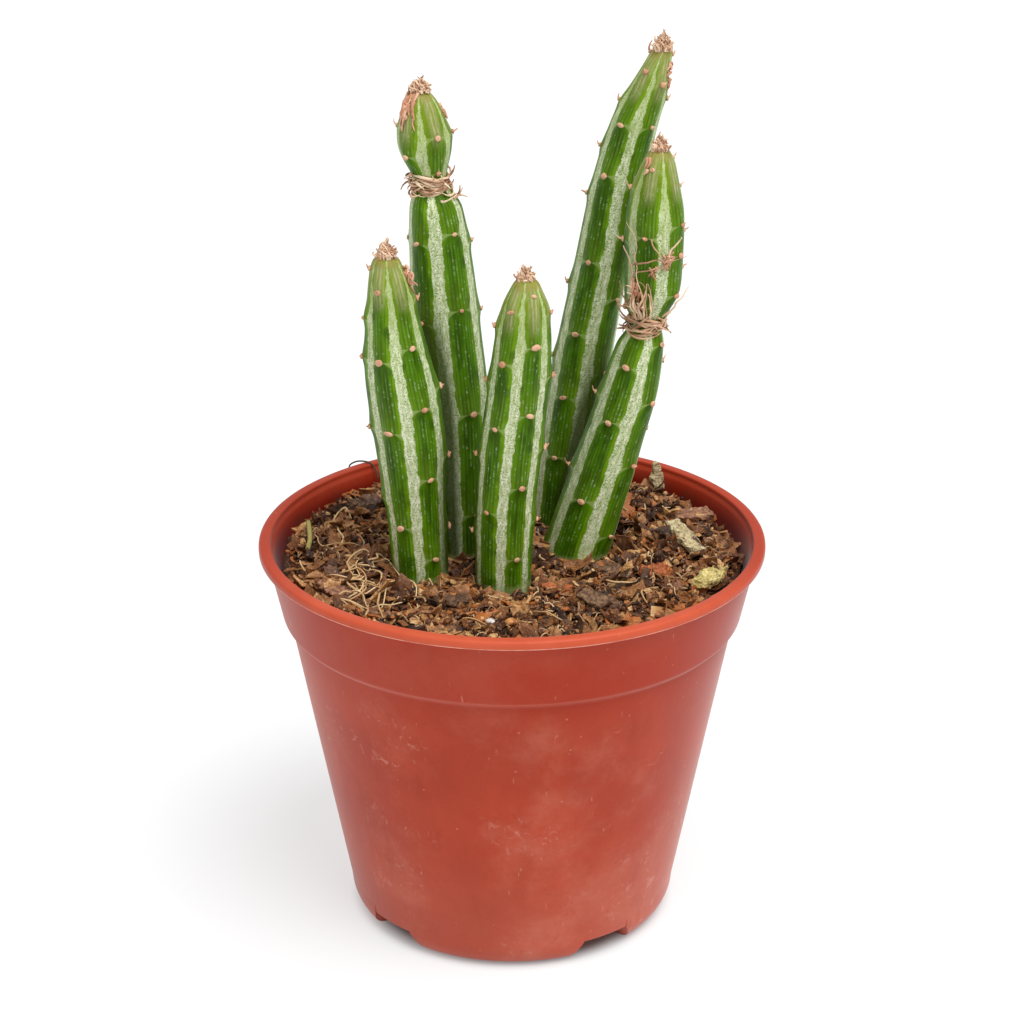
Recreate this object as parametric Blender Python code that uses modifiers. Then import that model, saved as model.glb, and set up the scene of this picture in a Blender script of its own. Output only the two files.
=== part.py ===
"""A pickle plant of five ribbed stems in a moulded nursery pot, with its bark compost and litter."""

import math
import random

import bmesh
import bpy
from mathutils import Matrix, Vector
from mathutils.bvhtree import BVHTree

MM = 0.001

# Clearance kept between pieces that touch.
GAP = 0.3 * MM
# What lies on the compost keeps a little more, because the compost is lumpy.
LITTER_GAP = 0.4 * MM
# The weld distance of every modifier and mesh here.
WELD = 0.00001

# Pot: rim and lip.
RIM_RADIUS = 52.5 * MM
POT_HEIGHT = 83.6 * MM
LIP_HEIGHT = 1.8 * MM
LIP_WIDTH = 2.5 * MM
LIP_ROUND = 0.7 * MM
LIP_EASE = 0.3 * LIP_ROUND
LIP_LEDGE_DROP = 0.9 * MM
# Pot: the wider collar under the lip, which overhangs it, and the step below the collar.
LIP_OVERHANG = 1.6 * MM
COLLAR_HEIGHT = 15.8 * MM
COLLAR_TAPER = 3.1 * MM
COLLAR_STEP = 1.5 * MM
COLLAR_STEP_DROP = 0.8 * MM
COLLAR_TOP_RADIUS = RIM_RADIUS - LIP_OVERHANG
COLLAR_FOOT_RADIUS = COLLAR_TOP_RADIUS - COLLAR_TAPER
# Pot: the tapering wall and the rounded heel that leads to the foot.
WALL = 1.4 * MM
WALL_TAPER = 11.6 * MM
WALL_TOP_RADIUS = COLLAR_FOOT_RADIUS - COLLAR_STEP
HEEL_HEIGHT = 6.0 * MM
HEEL_RUN = 4.3 * MM
HEEL_STEPS = 4
HEEL_RADIUS = WALL_TOP_RADIUS - WALL_TAPER
FOOT_RADIUS = HEEL_RADIUS - HEEL_RUN
FOOT_WALL = 2.2 * MM
# Pot: the raised floor with its drain holes, and the notches in the foot ring.
FLOOR_LIFT = 4.2 * MM
FLOOR_THICKNESS = 1.5 * MM
DRAIN_RADIUS = 4.0 * MM
SIDE_DRAIN_RADIUS = 3.0 * MM
SIDE_DRAIN_CIRCLE = 20.0 * MM
NOTCH_COUNT = 4
NOTCH_WIDTH = 12.0 * MM
NOTCH_TURN = math.radians(39.0)
POT_STEPS = 48

# Compost: its level in the middle, its dome, its slump at the wall and its lumps.
SOIL_DROP = 3.8 * MM
SOIL_LEVEL = POT_HEIGHT - SOIL_DROP
SOIL_BACK_RISE = 1.0 * MM
SOIL_SLUMP = 3.4 * MM
SOIL_SLUMP_HEADING = math.radians(-50.0)
SOIL_SLUMP_WIDTH = 9.0 * MM
# The share of the slump that goes all round, and the lumps: their height and two widths.
SOIL_SLUMP_ROUND = 0.35
SOIL_LUMP = 0.5 * MM
SOIL_LUMP_WIDE = 4.0 * MM
SOIL_LUMP_NARROW = 2.7 * MM
SOIL_RINGS = 9
SOIL_STEPS = 40

# Stems: how deep the furrows between the ribs are, as a share of the stem's radius.
FURROW_DEPTH = 0.07
POINTS_PER_RIB = 3
STEPS_PER_STATION = 2
# The rooted end goes this deep, and it and the rounded tip narrow to a share of the radius.
ROOTED_DEPTH = 15.0 * MM
ROOTED_SHARE = 0.9
TIP_RISE = 0.5
TIP_SHARE = 0.55
# The dried crown on a tip: its foot and top as shares of its radius, and how ragged its top is.
CROWN_FOOT = 0.75
CROWN_TOP = 0.9
CROWN_RAGGED = 0.35

# Each stem: ribs, the heading of one furrow (degrees from the front, to the right), the
# stations of its axis (x, y, height over the compost's level, radius over the ribs)
# in millimetres, and the size of the dried crown on its tip (radius, height).
STEMS = {
    "stem_front_left": {
        "ribs": 6,
        "furrow": 3.0,
        "stations": (
            (-18.8, -9.5, 0.2, 5.9),
            (-19.3, -9.9, 11.2, 6.1),
            (-19.9, -10.3, 20.2, 6.7),
            (-20.5, -10.7, 29.2, 7.3),
            (-21.5, -11.0, 37.7, 7.4),
            (-22.4, -11.3, 44.2, 7.0),
            (-23.3, -11.6, 52.2, 5.9),
            (-23.8, -11.9, 59.2, 4.8),
            (-24.2, -12.0, 63.7, 3.9),
            (-24.5, -12.2, 67.6, 2.4),
        ),
        "crown": (2.0, 3.4),
    },
    "stem_back_left": {
        "ribs": 5,
        "furrow": -4.0,
        "stations": (
            (-11.1, 4.0, -0.8, 6.9),
            (-11.6, 4.6, 20.2, 7.4),
            (-12.2, 5.0, 33.2, 7.6),
            (-13.3, 5.4, 45.2, 7.4),
            (-14.1, 5.7, 57.2, 6.9),
            (-14.9, 6.0, 67.7, 6.1),
            (-15.4, 6.2, 73.2, 5.3),
            (-16.0, 6.3, 76.6, 3.5),
            (-16.6, 6.4, 79.2, 3.6),
            (-17.2, 6.5, 82.8, 5.1),
            (-17.5, 6.6, 86.4, 5.7),
            (-17.8, 6.7, 90.8, 4.6),
            (-18.1, 6.8, 94.2, 3.3),
            (-18.3, 6.9, 96.0, 1.9),
        ),
        "crown": (2.2, 3.0),
    },
    "stem_front_middle": {
        "ribs": 6,
        "furrow": -6.0,
        "stations": (
            (-1.8, -13.4, -0.8, 5.8),
            (-1.6, -13.9, 9.2, 6.0),
            (-1.1, -14.4, 19.2, 6.2),
            (0.0, -15.0, 31.2, 6.4),
            (1.0, -15.5, 39.7, 6.2),
            (1.8, -15.9, 47.7, 6.0),
            (2.3, -16.2, 54.2, 5.5),
            (2.6, -16.5, 60.2, 4.3),
            (2.8, -16.7, 64.4, 2.3),
        ),
        "crown": (1.8, 2.9),
    },
    "stem_tall_right": {
        "ribs": 5,
        "furrow": 11.0,
        "stations": (
            (10.0, 18.4, -1.8, 6.1),
            (11.9, 18.5, 15.4, 6.5),
            (13.5, 18.6, 26.8, 6.5),
            (15.4, 18.7, 38.8, 6.3),
            (17.2, 18.8, 48.8, 6.1),
            (19.0, 18.8, 57.9, 6.1),
            (20.4, 18.9, 66.4, 5.9),
            (21.8, 18.9, 75.0, 5.5),
            (23.6, 19.0, 82.0, 5.3),
            (25.4, 19.0, 88.1, 5.0),
            (27.4, 19.0, 93.4, 4.1),
            (29.4, 19.0, 99.2, 2.6),
            (30.2, 19.0, 101.4, 1.9),
        ),
        "crown": (1.8, 3.8),
    },
    "stem_front_right": {
        "ribs": 5,
        "furrow": 8.0,
        "stations": (
            (13.4, 3.1, -1.8, 7.4),
            (15.6, 2.9, 6.2, 7.3),
            (18.3, 2.7, 15.2, 7.1),
            (21.0, 2.5, 24.7, 6.7),
            (23.4, 2.4, 32.7, 6.4),
            (24.9, 2.2, 39.2, 5.9),
            (26.3, 2.1, 45.8, 4.8),
            (27.2, 2.0, 49.5, 3.2),
            (27.8, 1.9, 53.2, 4.7),
            (28.4, 1.9, 57.2, 5.9),
            (28.7, 1.7, 65.2, 6.1),
            (28.7, 1.5, 73.2, 6.0),
            (28.8, 1.4, 78.7, 4.7),
            (29.0, 1.3, 83.2, 3.3),
            (29.1, 1.3, 85.6, 1.9),
        ),
        "crown": (1.8, 3.2),
    },
}

# Dried leaf collars round the necks of the two jointed stems: the stem, the collar's lowest
# and highest point over the compost's level, and how thick the dried leaves lie.
NECK_COLLARS = {
    "collar_back_left": ("stem_back_left", 74.8 * MM, 80.0 * MM, 0.8 * MM),
    "collar_front_right": ("stem_front_right", 47.6 * MM, 51.1 * MM, 0.9 * MM),
}

# Flakes lying on the compost: centre (x, y), heading and tilt in degrees, and length,
# width and thickness in millimetres.
FLAKES = {
    "leaf_flake": ((-34.3, -20.8), -35.0, 8.0, (10.5, 6.4, 0.8)),
    "yellow_chip": ((40.2, -15.6), 62.0, 10.0, (11.5, 4.2, 1.6)),
    "pale_chip": ((36.0, 2.6), -66.0, 12.0, (12.5, 4.4, 1.2)),
    "bark_flake_right": ((19.6, -11.2), -40.0, 6.0, (6.6, 4.6, 1.2)),
    "bark_flake_front": ((17.6, -28.0), -30.0, 14.0, (8.6, 5.2, 1.3)),
    "bark_flake_middle": ((-10.9, -24.6), 75.0, 9.0, (8.0, 5.0, 1.3)),
    "bark_flake_side": ((29.0, -12.4), 20.0, 8.0, (6.4, 4.4, 1.4)),
    "orange_bark_chip": ((9.8, -21.4), 10.0, 10.0, (8.2, 3.0, 1.0)),
    "bark_flake_back": ((-31.0, 22.0), 35.0, 7.0, (8.4, 5.6, 1.5)),
    "bark_flake_far": ((38.6, 16.6), 15.0, 6.0, (8.0, 5.4, 1.4)),
}
FLAKE_BEVEL = 0.25 * MM
# A flake's ends narrow, its sides are ragged and it curls, each as a share of its size.
FLAKE_TAPER = 0.35
FLAKE_RAGGED = 0.12
FLAKE_CURL = 0.25

# A pale flake that stands against the back of the rim: centre, heading, size, lean.
STANDING_CHIP = ((31.6, 33.2), -42.0, (3.0, 6.6, 0.9), 7.0)

# A withered grass stalk on the left, and rootlets: points (x, y) along the compost.
STALK_POINTS = ((-42.2, -4.2), (-42.0, 0.4), (-42.4, 4.6), (-42.9, 9.0))
STALK_RADIUS = 0.55 * MM
ROOTLETS = {
    "rootlet_loop": (
        (-31.3, -2.6),
        (-34.2, -0.2),
        (-37.0, -3.0),
        (-39.6, -5.2),
        (-40.2, -1.2),
        (-38.8, 5.0),
        (-38.6, 10.5),
        (-36.2, 14.8),
        (-33.4, 14.6),
        (-31.8, 10.4),
    ),
    "rootlet_long": (
        (-33.8, -13.6),
        (-31.0, -11.0),
        (-28.2, -11.4),
        (-26.2, -15.2),
        (-26.6, -21.0),
        (-27.6, -26.0),
        (-26.4, -31.4),
        (-24.0, -36.4),
    ),
    "rootlet_rim": (
        (-39.5, -24.2),
        (-36.2, -28.0),
        (-32.6, -30.8),
        (-29.6, -33.6),
    ),
}
ROOTLET_RADIUS = 0.3 * MM
ROOTLET_STEPS = 3

# Loose grit: centre (x, y) and radius.
GRIT = {
    "white_grit": ((-4.3, -36.2), 0.9 * MM),
    "amber_grit": ((-0.2, -36.4), 1.1 * MM),
    "pebble": ((-42.4, -17.8), 0.9 * MM),
}

# Colour, roughness and metallic of each material.
FINISHES = {
    "pot_plastic": ((0.48, 0.055, 0.02), 0.45),
    "compost": ((0.10, 0.05, 0.025), 0.95),
    "stem_skin": ((0.08, 0.20, 0.02), 0.4),
    "dried_leaf": ((0.42, 0.24, 0.14), 0.8),
    "bark": ((0.17, 0.09, 0.05), 0.9),
    "pale_wood": ((0.52, 0.40, 0.20), 0.85),
    "rootlet": ((0.50, 0.34, 0.18), 0.8),
    "stalk": ((0.30, 0.28, 0.06), 0.7),
    "grit": ((0.62, 0.50, 0.36), 0.6),
}


def clear_scene():
    for item in list(bpy.data.objects):
        bpy.data.objects.remove(item, do_unlink=True)


def new_collection(name):
    collection = bpy.data.collections.new(name)
    bpy.context.scene.collection.children.link(collection)
    return collection


def make_material(name):
    color, roughness = FINISHES[name]
    material = bpy.data.materials.get(name) or bpy.data.materials.new(name)
    material.use_nodes = True
    shader = material.node_tree.nodes["Principled BSDF"]
    shader.inputs["Base Color"].default_value = (*color, 1.0)
    shader.inputs["Roughness"].default_value = roughness
    shader.inputs["Metallic"].default_value = 0.0
    return material


def add_object(name, shape, material, collection, smooth=True):
    """Turn a bmesh into a named object in the given collection."""
    mesh = bpy.data.meshes.new(name)
    bmesh.ops.recalc_face_normals(shape, faces=shape.faces)
    shape.to_mesh(mesh)
    shape.free()
    item = bpy.data.objects.new(name, mesh)
    collection.objects.link(item)
    if material:
        mesh.materials.append(make_material(material))
    if smooth:
        mesh.shade_smooth()
        mesh.set_sharp_from_angle(angle=math.radians(35.0))
    return item


def hide_guide(item):
    item.hide_render = True
    item.display_type = "WIRE"


def cut(item, cutter):
    boolean = item.modifiers.new("cut " + cutter.name, "BOOLEAN")
    boolean.operation = "DIFFERENCE"
    boolean.solver = "EXACT"
    boolean.object = cutter


def evaluated_shape(item):
    """The object's mesh in world space, as its modifiers leave it."""
    graph = bpy.context.evaluated_depsgraph_get()
    shape = bmesh.new()
    shape.from_object(item, graph)
    shape.transform(item.matrix_world)
    return shape


def catmull_rom(points, steps):
    """Points on a smooth curve through the given points."""
    ends = [2 * points[0] - points[1], *points, 2 * points[-1] - points[-2]]
    line = []
    for before, start, end, after in zip(ends, ends[1:], ends[2:], ends[3:]):
        for step in range(steps):
            t = step / steps
            line.append(
                0.5
                * (
                    2 * start
                    + (end - before) * t
                    + (2 * before - 5 * start + 4 * end - after) * t**2
                    + (3 * start - before - 3 * end + after) * t**3
                )
            )
    return line + [points[-1]]


# ---------------------------------------------------------------- pot


def wall_radius(height):
    """Outer radius of the tapering wall, from the heel up to the collar's step."""
    share = (height - HEEL_HEIGHT) / (POT_HEIGHT - COLLAR_HEIGHT - HEEL_HEIGHT)
    return HEEL_RADIUS + (WALL_TOP_RADIUS - HEEL_RADIUS) * share


def collar_radius(height):
    """Outer radius of the collar under the lip."""
    share = (POT_HEIGHT - LIP_HEIGHT - height) / (COLLAR_HEIGHT - LIP_HEIGHT)
    return COLLAR_TOP_RADIUS + (COLLAR_FOOT_RADIUS - COLLAR_TOP_RADIUS) * share


def inner_radius(height):
    """Inner radius of the pot at a height over its foot."""
    if height > POT_HEIGHT - COLLAR_HEIGHT + WALL:
        return collar_radius(min(height, POT_HEIGHT - LIP_HEIGHT)) - WALL
    return wall_radius(height) - WALL


def heel_point(share):
    """A point of the rounded heel, from the wall at 0 to the foot at 1."""
    angle = share * math.pi / 2
    radius = FOOT_RADIUS + (HEEL_RADIUS - FOOT_RADIUS) * math.cos(angle)
    return radius, HEEL_HEIGHT * (1 - math.sin(angle))


def pot_profile():
    """The pot's closed outline: down the outside, under the floor and up the inside."""
    collar_foot = POT_HEIGHT - COLLAR_HEIGHT
    step_foot = collar_foot - COLLAR_STEP_DROP
    inner_step = collar_foot + WALL
    floor_top = FLOOR_LIFT + FLOOR_THICKNESS
    lip_under = POT_HEIGHT - LIP_HEIGHT
    lip_inner = RIM_RADIUS - LIP_WIDTH
    ledge = POT_HEIGHT - LIP_LEDGE_DROP
    outline = [
        (RIM_RADIUS - LIP_ROUND, POT_HEIGHT),
        (RIM_RADIUS - LIP_EASE, POT_HEIGHT - LIP_EASE),
        (RIM_RADIUS, POT_HEIGHT - LIP_ROUND),
        (RIM_RADIUS, lip_under),
        (COLLAR_TOP_RADIUS, lip_under),
        (COLLAR_FOOT_RADIUS, collar_foot),
        (WALL_TOP_RADIUS, step_foot),
    ]
    outline += [heel_point(step / HEEL_STEPS) for step in range(HEEL_STEPS + 1)]
    outline += [
        (FOOT_RADIUS - FOOT_WALL, 0.0),
        (FOOT_RADIUS - FOOT_WALL, FLOOR_LIFT),
        (DRAIN_RADIUS, FLOOR_LIFT),
        (DRAIN_RADIUS, floor_top),
        (inner_radius(HEEL_HEIGHT) - FLOOR_THICKNESS, floor_top),
        (inner_radius(HEEL_HEIGHT + FLOOR_THICKNESS), HEEL_HEIGHT + FLOOR_THICKNESS),
        (inner_radius(step_foot), step_foot),
        (collar_radius(inner_step) - WALL, inner_step),
        (inner_radius(lip_under), lip_under),
        (inner_radius(lip_under), ledge),
        (lip_inner, ledge),
        (lip_inner, POT_HEIGHT - LIP_EASE),
        (lip_inner + LIP_EASE, POT_HEIGHT),
    ]
    return outline


def make_pot(parts, cutters):
    shape = bmesh.new()
    corners = [shape.verts.new((radius, 0.0, height)) for radius, height in pot_profile()]
    for first, second in zip(corners, corners[1:] + corners[:1]):
        shape.edges.new((first, second))
    mesh = bpy.data.meshes.new("pot")
    shape.to_mesh(mesh)
    shape.free()
    mesh.materials.append(make_material("pot_plastic"))
    pot = bpy.data.objects.new("pot", mesh)
    parts.objects.link(pot)
    screw = pot.modifiers.new("turn", "SCREW")
    screw.steps = POT_STEPS
    screw.render_steps = POT_STEPS
    screw.use_merge_vertices = True
    screw.merge_threshold = WELD
    screw.use_smooth_shade = True
    for number in range(NOTCH_COUNT):
        angle = NOTCH_TURN + number * 2 * math.pi / NOTCH_COUNT
        cut(pot, make_notch(number, angle, cutters))
        cut(pot, make_side_drain(number, angle, cutters))
    return pot


def make_notch(number, angle, cutters):
    """A block that cuts one notch out of the foot ring, up to the floor's underside."""
    reach = HEEL_RADIUS - FOOT_RADIUS + 2 * FOOT_WALL
    middle = FOOT_RADIUS - FOOT_WALL + reach / 2 - FOOT_WALL / 2
    shape = bmesh.new()
    bmesh.ops.create_cube(shape, size=1.0)
    bmesh.ops.scale(shape, vec=(reach, NOTCH_WIDTH, 2 * FLOOR_LIFT), verts=shape.verts)
    bmesh.ops.translate(shape, vec=(middle, 0.0, 0.0), verts=shape.verts)
    bmesh.ops.rotate(shape, matrix=Matrix.Rotation(angle, 3, "Z"), verts=shape.verts)
    cutter = add_object(f"notch_{number + 1}", shape, None, cutters, smooth=False)
    hide_guide(cutter)
    return cutter


def make_side_drain(number, angle, cutters):
    """A round drain hole through the floor, in line with a notch."""
    place = Matrix.Rotation(angle, 4, "Z") @ Matrix.Translation(
        (SIDE_DRAIN_CIRCLE, 0.0, FLOOR_LIFT + FLOOR_THICKNESS / 2)
    )
    shape = bmesh.new()
    bmesh.ops.create_cone(
        shape,
        cap_ends=True,
        segments=16,
        radius1=SIDE_DRAIN_RADIUS,
        radius2=SIDE_DRAIN_RADIUS,
        depth=2 * FLOOR_THICKNESS,
        matrix=place,
    )
    cutter = add_object(f"drain_{number + 1}", shape, None, cutters, smooth=False)
    hide_guide(cutter)
    return cutter


# ---------------------------------------------------------------- stems


def stem_line(name):
    """The stem's axis from its rooted end to its tip, as (x, y, height, radius)."""
    lift = Vector((0.0, 0.0, SOIL_LEVEL, 0.0))
    stations = [Vector(station) * MM + lift for station in STEMS[name]["stations"]]
    line = catmull_rom(stations, STEPS_PER_STATION)
    first = line[0]
    slope = (line[1] - line[0]) / (line[1].z - line[0].z)
    rooted = first - slope * ROOTED_DEPTH
    rooted.w = ROOTED_SHARE * first.w
    tip = line[-1].copy()
    tip.z += TIP_RISE * tip.w
    tip.w *= TIP_SHARE
    return [rooted, *line, tip]


def station_at(name, height):
    """The stem's axis point and radius at a height, between the points of its line."""
    line = stem_line(name)
    for low, high in zip(line, line[1:]):
        if low.z <= height <= high.z:
            return low.lerp(high, (height - low.z) / (high.z - low.z))
    return line[-1]


def ribbed_ring(station, ribs, furrow, grow):
    """One cross section of a stem: ribs with shallow furrows between them."""
    count = ribs * POINTS_PER_RIB
    heading = math.radians(furrow - 90.0)
    ring = []
    for number in range(count):
        angle = 2 * math.pi * number / count
        radius = station.w * (1 - FURROW_DEPTH * (0.5 + 0.5 * math.cos(ribs * angle))) + grow
        turned = heading + angle
        side = Vector((math.cos(turned), math.sin(turned), 0.0)) * radius
        ring.append(station.to_3d() + side)
    return ring


def loft(sections, ring=False):
    """A closed skin over a row of like rings: capped at both ends, or joined in a ring."""
    shape = bmesh.new()
    rows = [[shape.verts.new(point) for point in section] for section in sections]
    following = rows[1:] + rows[:1] if ring else rows[1:]
    for lower, upper in zip(rows, following):
        turned = zip(lower, lower[1:] + lower[:1], upper[1:] + upper[:1], upper)
        for corners in turned:
            shape.faces.new(corners)
    if not ring:
        shape.faces.new(rows[0])
        shape.faces.new(rows[-1])
    return shape


def stem_shape(name, grow=0.0, top=None):
    """A stem's skin, grown all round by a clearance and stopped at a height if given."""
    stem = STEMS[name]
    line = stem_line(name)
    if top:
        line = [station for station in line if station.z < top] + [station_at(name, top)]
    line[0] = line[0].copy()
    line[0].z -= grow
    return loft([ribbed_ring(station, stem["ribs"], stem["furrow"], grow) for station in line])


def make_stem(name, parts):
    return add_object(name, stem_shape(name), "stem_skin", parts)


def make_crown(name, stem_name, parts):
    """The tuft of dried leaf ends that covers a stem's growing tip."""
    radius, height = (value * MM for value in STEMS[stem_name]["crown"])
    tip = stem_line(stem_name)[-1]
    draw = random.Random(name)
    shape = bmesh.new()
    bmesh.ops.create_cone(
        shape,
        cap_ends=True,
        segments=12,
        radius1=CROWN_FOOT * radius,
        radius2=CROWN_TOP * radius,
        depth=height,
        matrix=Matrix.Translation(tip.to_3d() + Vector((0.0, 0.0, height / 2 + GAP))),
    )
    middle = tip.z + GAP + height / 2
    sides = [edge for edge in shape.edges if abs(edge.verts[0].co.z - edge.verts[1].co.z) > GAP]
    bmesh.ops.subdivide_edges(shape, edges=sides, cuts=1)
    for vertex in shape.verts:
        if vertex.co.z > middle + GAP:
            vertex.co.z -= draw.uniform(0.0, CROWN_RAGGED) * height
        elif vertex.co.z > middle - GAP:
            side = vertex.co - tip.to_3d()
            side.z = 0.0
            vertex.co += side * draw.uniform(0.05, 0.3)
    bmesh.ops.triangulate(shape, faces=[face for face in shape.faces if len(face.verts) > 3])
    return add_object(name, shape, "dried_leaf", parts)


def make_neck_collar(name, parts):
    """A ring of dried leaves that hugs the neck between two joints of a stem."""
    stem_name, bottom, top, thickness = NECK_COLLARS[name]
    stem = STEMS[stem_name]
    rows = 4
    heights = [SOIL_LEVEL + bottom + (top - bottom) * row / rows for row in range(rows + 1)]
    stations = [station_at(stem_name, height) for height in heights]
    swell = [0.2 + 0.8 * math.sin(math.pi * row / rows) for row in range(rows + 1)]
    inside = [
        ribbed_ring(station, stem["ribs"], stem["furrow"], 2 * GAP) for station in stations
    ]
    outside = [
        ribbed_ring(station, stem["ribs"], stem["furrow"], 2 * GAP + thickness * share)
        for station, share in zip(stations, swell)
    ]
    shape = loft(outside + inside[::-1], ring=True)
    return add_object(name, shape, "dried_leaf", parts)


# ---------------------------------------------------------------- compost


def soil_height(x, y):
    """Height of the compost: a slight dome, higher at the back, that slumps at the wall."""
    edge = inner_radius(SOIL_LEVEL) - GAP
    out = math.hypot(x, y)
    rise = SOIL_BACK_RISE * y / edge
    near_wall = max(0.0, out - (edge - SOIL_SLUMP_WIDTH)) / SOIL_SLUMP_WIDTH
    low_side = 0.5 + 0.5 * math.cos(math.atan2(y, x) - SOIL_SLUMP_HEADING)
    share = SOIL_SLUMP_ROUND + (1 - SOIL_SLUMP_ROUND) * low_side
    slump = SOIL_SLUMP * near_wall**1.5 * share
    lumps = math.sin(x / SOIL_LUMP_WIDE) * math.sin(y / SOIL_LUMP_WIDE + 0.8)
    lumps += 0.6 * math.sin(x / SOIL_LUMP_NARROW + 1.3) * math.cos(y / SOIL_LUMP_NARROW)
    return SOIL_LEVEL + rise - slump + SOIL_LUMP * lumps


def wall_clearance():
    """How far the compost keeps from the pot's wall: a facet's sag and the clearance."""
    sag = inner_radius(POT_HEIGHT) * (1 - math.cos(math.pi / POT_STEPS))
    return GAP + sag


def make_soil(parts, cutters):
    """The compost: a turned plug with a lumpy top, and a socket round each stem."""
    margin = wall_clearance()
    top = SOIL_LEVEL - SOIL_BACK_RISE - SOIL_SLUMP - SOIL_LUMP * 3
    floor = FLOOR_LIFT + FLOOR_THICKNESS + GAP
    step = POT_HEIGHT - COLLAR_HEIGHT - COLLAR_STEP_DROP
    heel = HEEL_HEIGHT + FLOOR_THICKNESS
    sides = [
        (inner_radius(HEEL_HEIGHT) - FLOOR_THICKNESS - margin, floor),
        (inner_radius(heel) - margin, heel + GAP),
        (inner_radius(step) - margin, step),
        (inner_radius(top) - margin, top),
    ]
    edge = sides[-1][0]
    rings = [(edge * (1 - ring / SOIL_RINGS), top) for ring in range(1, SOIL_RINGS)]
    outline = [(0.0, floor), *sides, (edge, top + SOIL_SLUMP / 2), *rings, (0.0, top)]
    shape = bmesh.new()
    corners = [shape.verts.new((radius, 0.0, height)) for radius, height in outline]
    row = [shape.edges.new(pair) for pair in zip(corners, corners[1:])]
    bmesh.ops.spin(
        shape,
        geom=corners + row,
        cent=(0.0, 0.0, 0.0),
        axis=(0.0, 0.0, 1.0),
        angle=2 * math.pi,
        steps=SOIL_STEPS,
        use_merge=True,
    )
    bmesh.ops.remove_doubles(shape, verts=shape.verts, dist=WELD)
    for vertex in shape.verts:
        inside = math.hypot(vertex.co.x, vertex.co.y) < edge - WELD
        if vertex.co.z > top + WELD or (inside and vertex.co.z > top - WELD):
            vertex.co.z = soil_height(vertex.co.x, vertex.co.y)
    soil = add_object("soil", shape, "compost", parts)
    for name in STEMS:
        clearance = stem_shape(name, grow=GAP, top=POT_HEIGHT + SOIL_DROP)
        socket = add_object(name.replace("stem", "socket"), clearance, None, cutters)
        hide_guide(socket)
        cut(soil, socket)
    return soil


def ground_under(soil):
    """A function that gives the height of the finished compost under a point."""
    shape = evaluated_shape(soil)
    tree = BVHTree.FromBMesh(shape)
    shape.free()
    down = Vector((0.0, 0.0, -1.0))
    # A ray that meets an edge can slip through, so it is cast again a hair to the side.
    nudges = [Vector((step * 7 * WELD, step * 3 * WELD, 2 * POT_HEIGHT)) for step in range(4)]

    def ground(x, y):
        hits = [tree.ray_cast(Vector((x, y, 0.0)) + nudge, down)[0] for nudge in nudges]
        return max([hit.z for hit in hits if hit], default=SOIL_LEVEL)

    return ground


# ---------------------------------------------------------------- litter


def flake_shape(name, size):
    """An uneven flake of bark or wood: a bevelled slab with a ragged outline."""
    length, width, thickness = (value * MM for value in size)
    draw = random.Random(name)
    shape = bmesh.new()
    bmesh.ops.create_cube(shape, size=1.0)
    bmesh.ops.scale(shape, vec=(length, width, thickness), verts=shape.verts)
    along = [edge for edge in shape.edges if abs(edge.verts[0].co.x - edge.verts[1].co.x) > WELD]
    bmesh.ops.subdivide_edges(shape, edges=along, cuts=3)
    for vertex in shape.verts:
        end = abs(vertex.co.x) / (length / 2)
        vertex.co.y *= 1.0 - FLAKE_TAPER * end**2 + draw.uniform(-FLAKE_RAGGED, FLAKE_RAGGED)
        vertex.co.x *= 1.0 + draw.uniform(-FLAKE_RAGGED, FLAKE_RAGGED) / 2
        vertex.co.z += FLAKE_CURL * thickness * math.sin(3.0 * vertex.co.x / length)
    bmesh.ops.bevel(
        shape,
        geom=[edge for edge in shape.edges if edge.is_boundary or edge.calc_face_angle(0.0) > 1.0],
        offset=FLAKE_BEVEL,
        segments=1,
        profile=0.5,
        affect="EDGES",
        material=-1,
    )
    return shape


def settle(shape, ground, clearance):
    """Lower or raise a shape until its nearest point clears the compost below it."""
    probes = [vertex.co.copy() for vertex in shape.verts]
    probes += [(edge.verts[0].co + edge.verts[1].co) / 2 for edge in shape.edges]
    probes += [face.calc_center_median() for face in shape.faces]
    lift = max(ground(point.x, point.y) - point.z for point in probes) + clearance
    bmesh.ops.translate(shape, vec=(0.0, 0.0, lift), verts=shape.verts)


def flake_material(name):
    if name in ("yellow_chip", "pale_chip", "standing_chip"):
        return "pale_wood"
    if name == "leaf_flake":
        return "dried_leaf"
    return "bark"


def make_flake(name, ground, parts):
    (x, y), heading, tilt, size = FLAKES[name]
    shape = flake_shape(name, size)
    turn = Matrix.Rotation(math.radians(heading), 4, "Z")
    lean = Matrix.Rotation(math.radians(tilt), 4, "Y")
    shape.transform(Matrix.Translation((x * MM, y * MM, POT_HEIGHT)) @ turn @ lean)
    settle(shape, ground, LITTER_GAP)
    return add_object(name, shape, flake_material(name), parts)


def make_standing_chip(ground, parts):
    """A pale flake that stands on its end near the back of the rim."""
    (x, y), heading, (width, height, thickness), lean = STANDING_CHIP
    shape = flake_shape("standing_chip", (height, width, thickness))
    upright = Matrix.Rotation(math.radians(90.0 - lean), 4, "Y")
    turn = Matrix.Rotation(math.radians(heading), 4, "Z")
    shape.transform(Matrix.Translation((x * MM, y * MM, POT_HEIGHT)) @ turn @ upright)
    settle(shape, ground, LITTER_GAP)
    return add_object("standing_chip", shape, flake_material("standing_chip"), parts)


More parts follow.
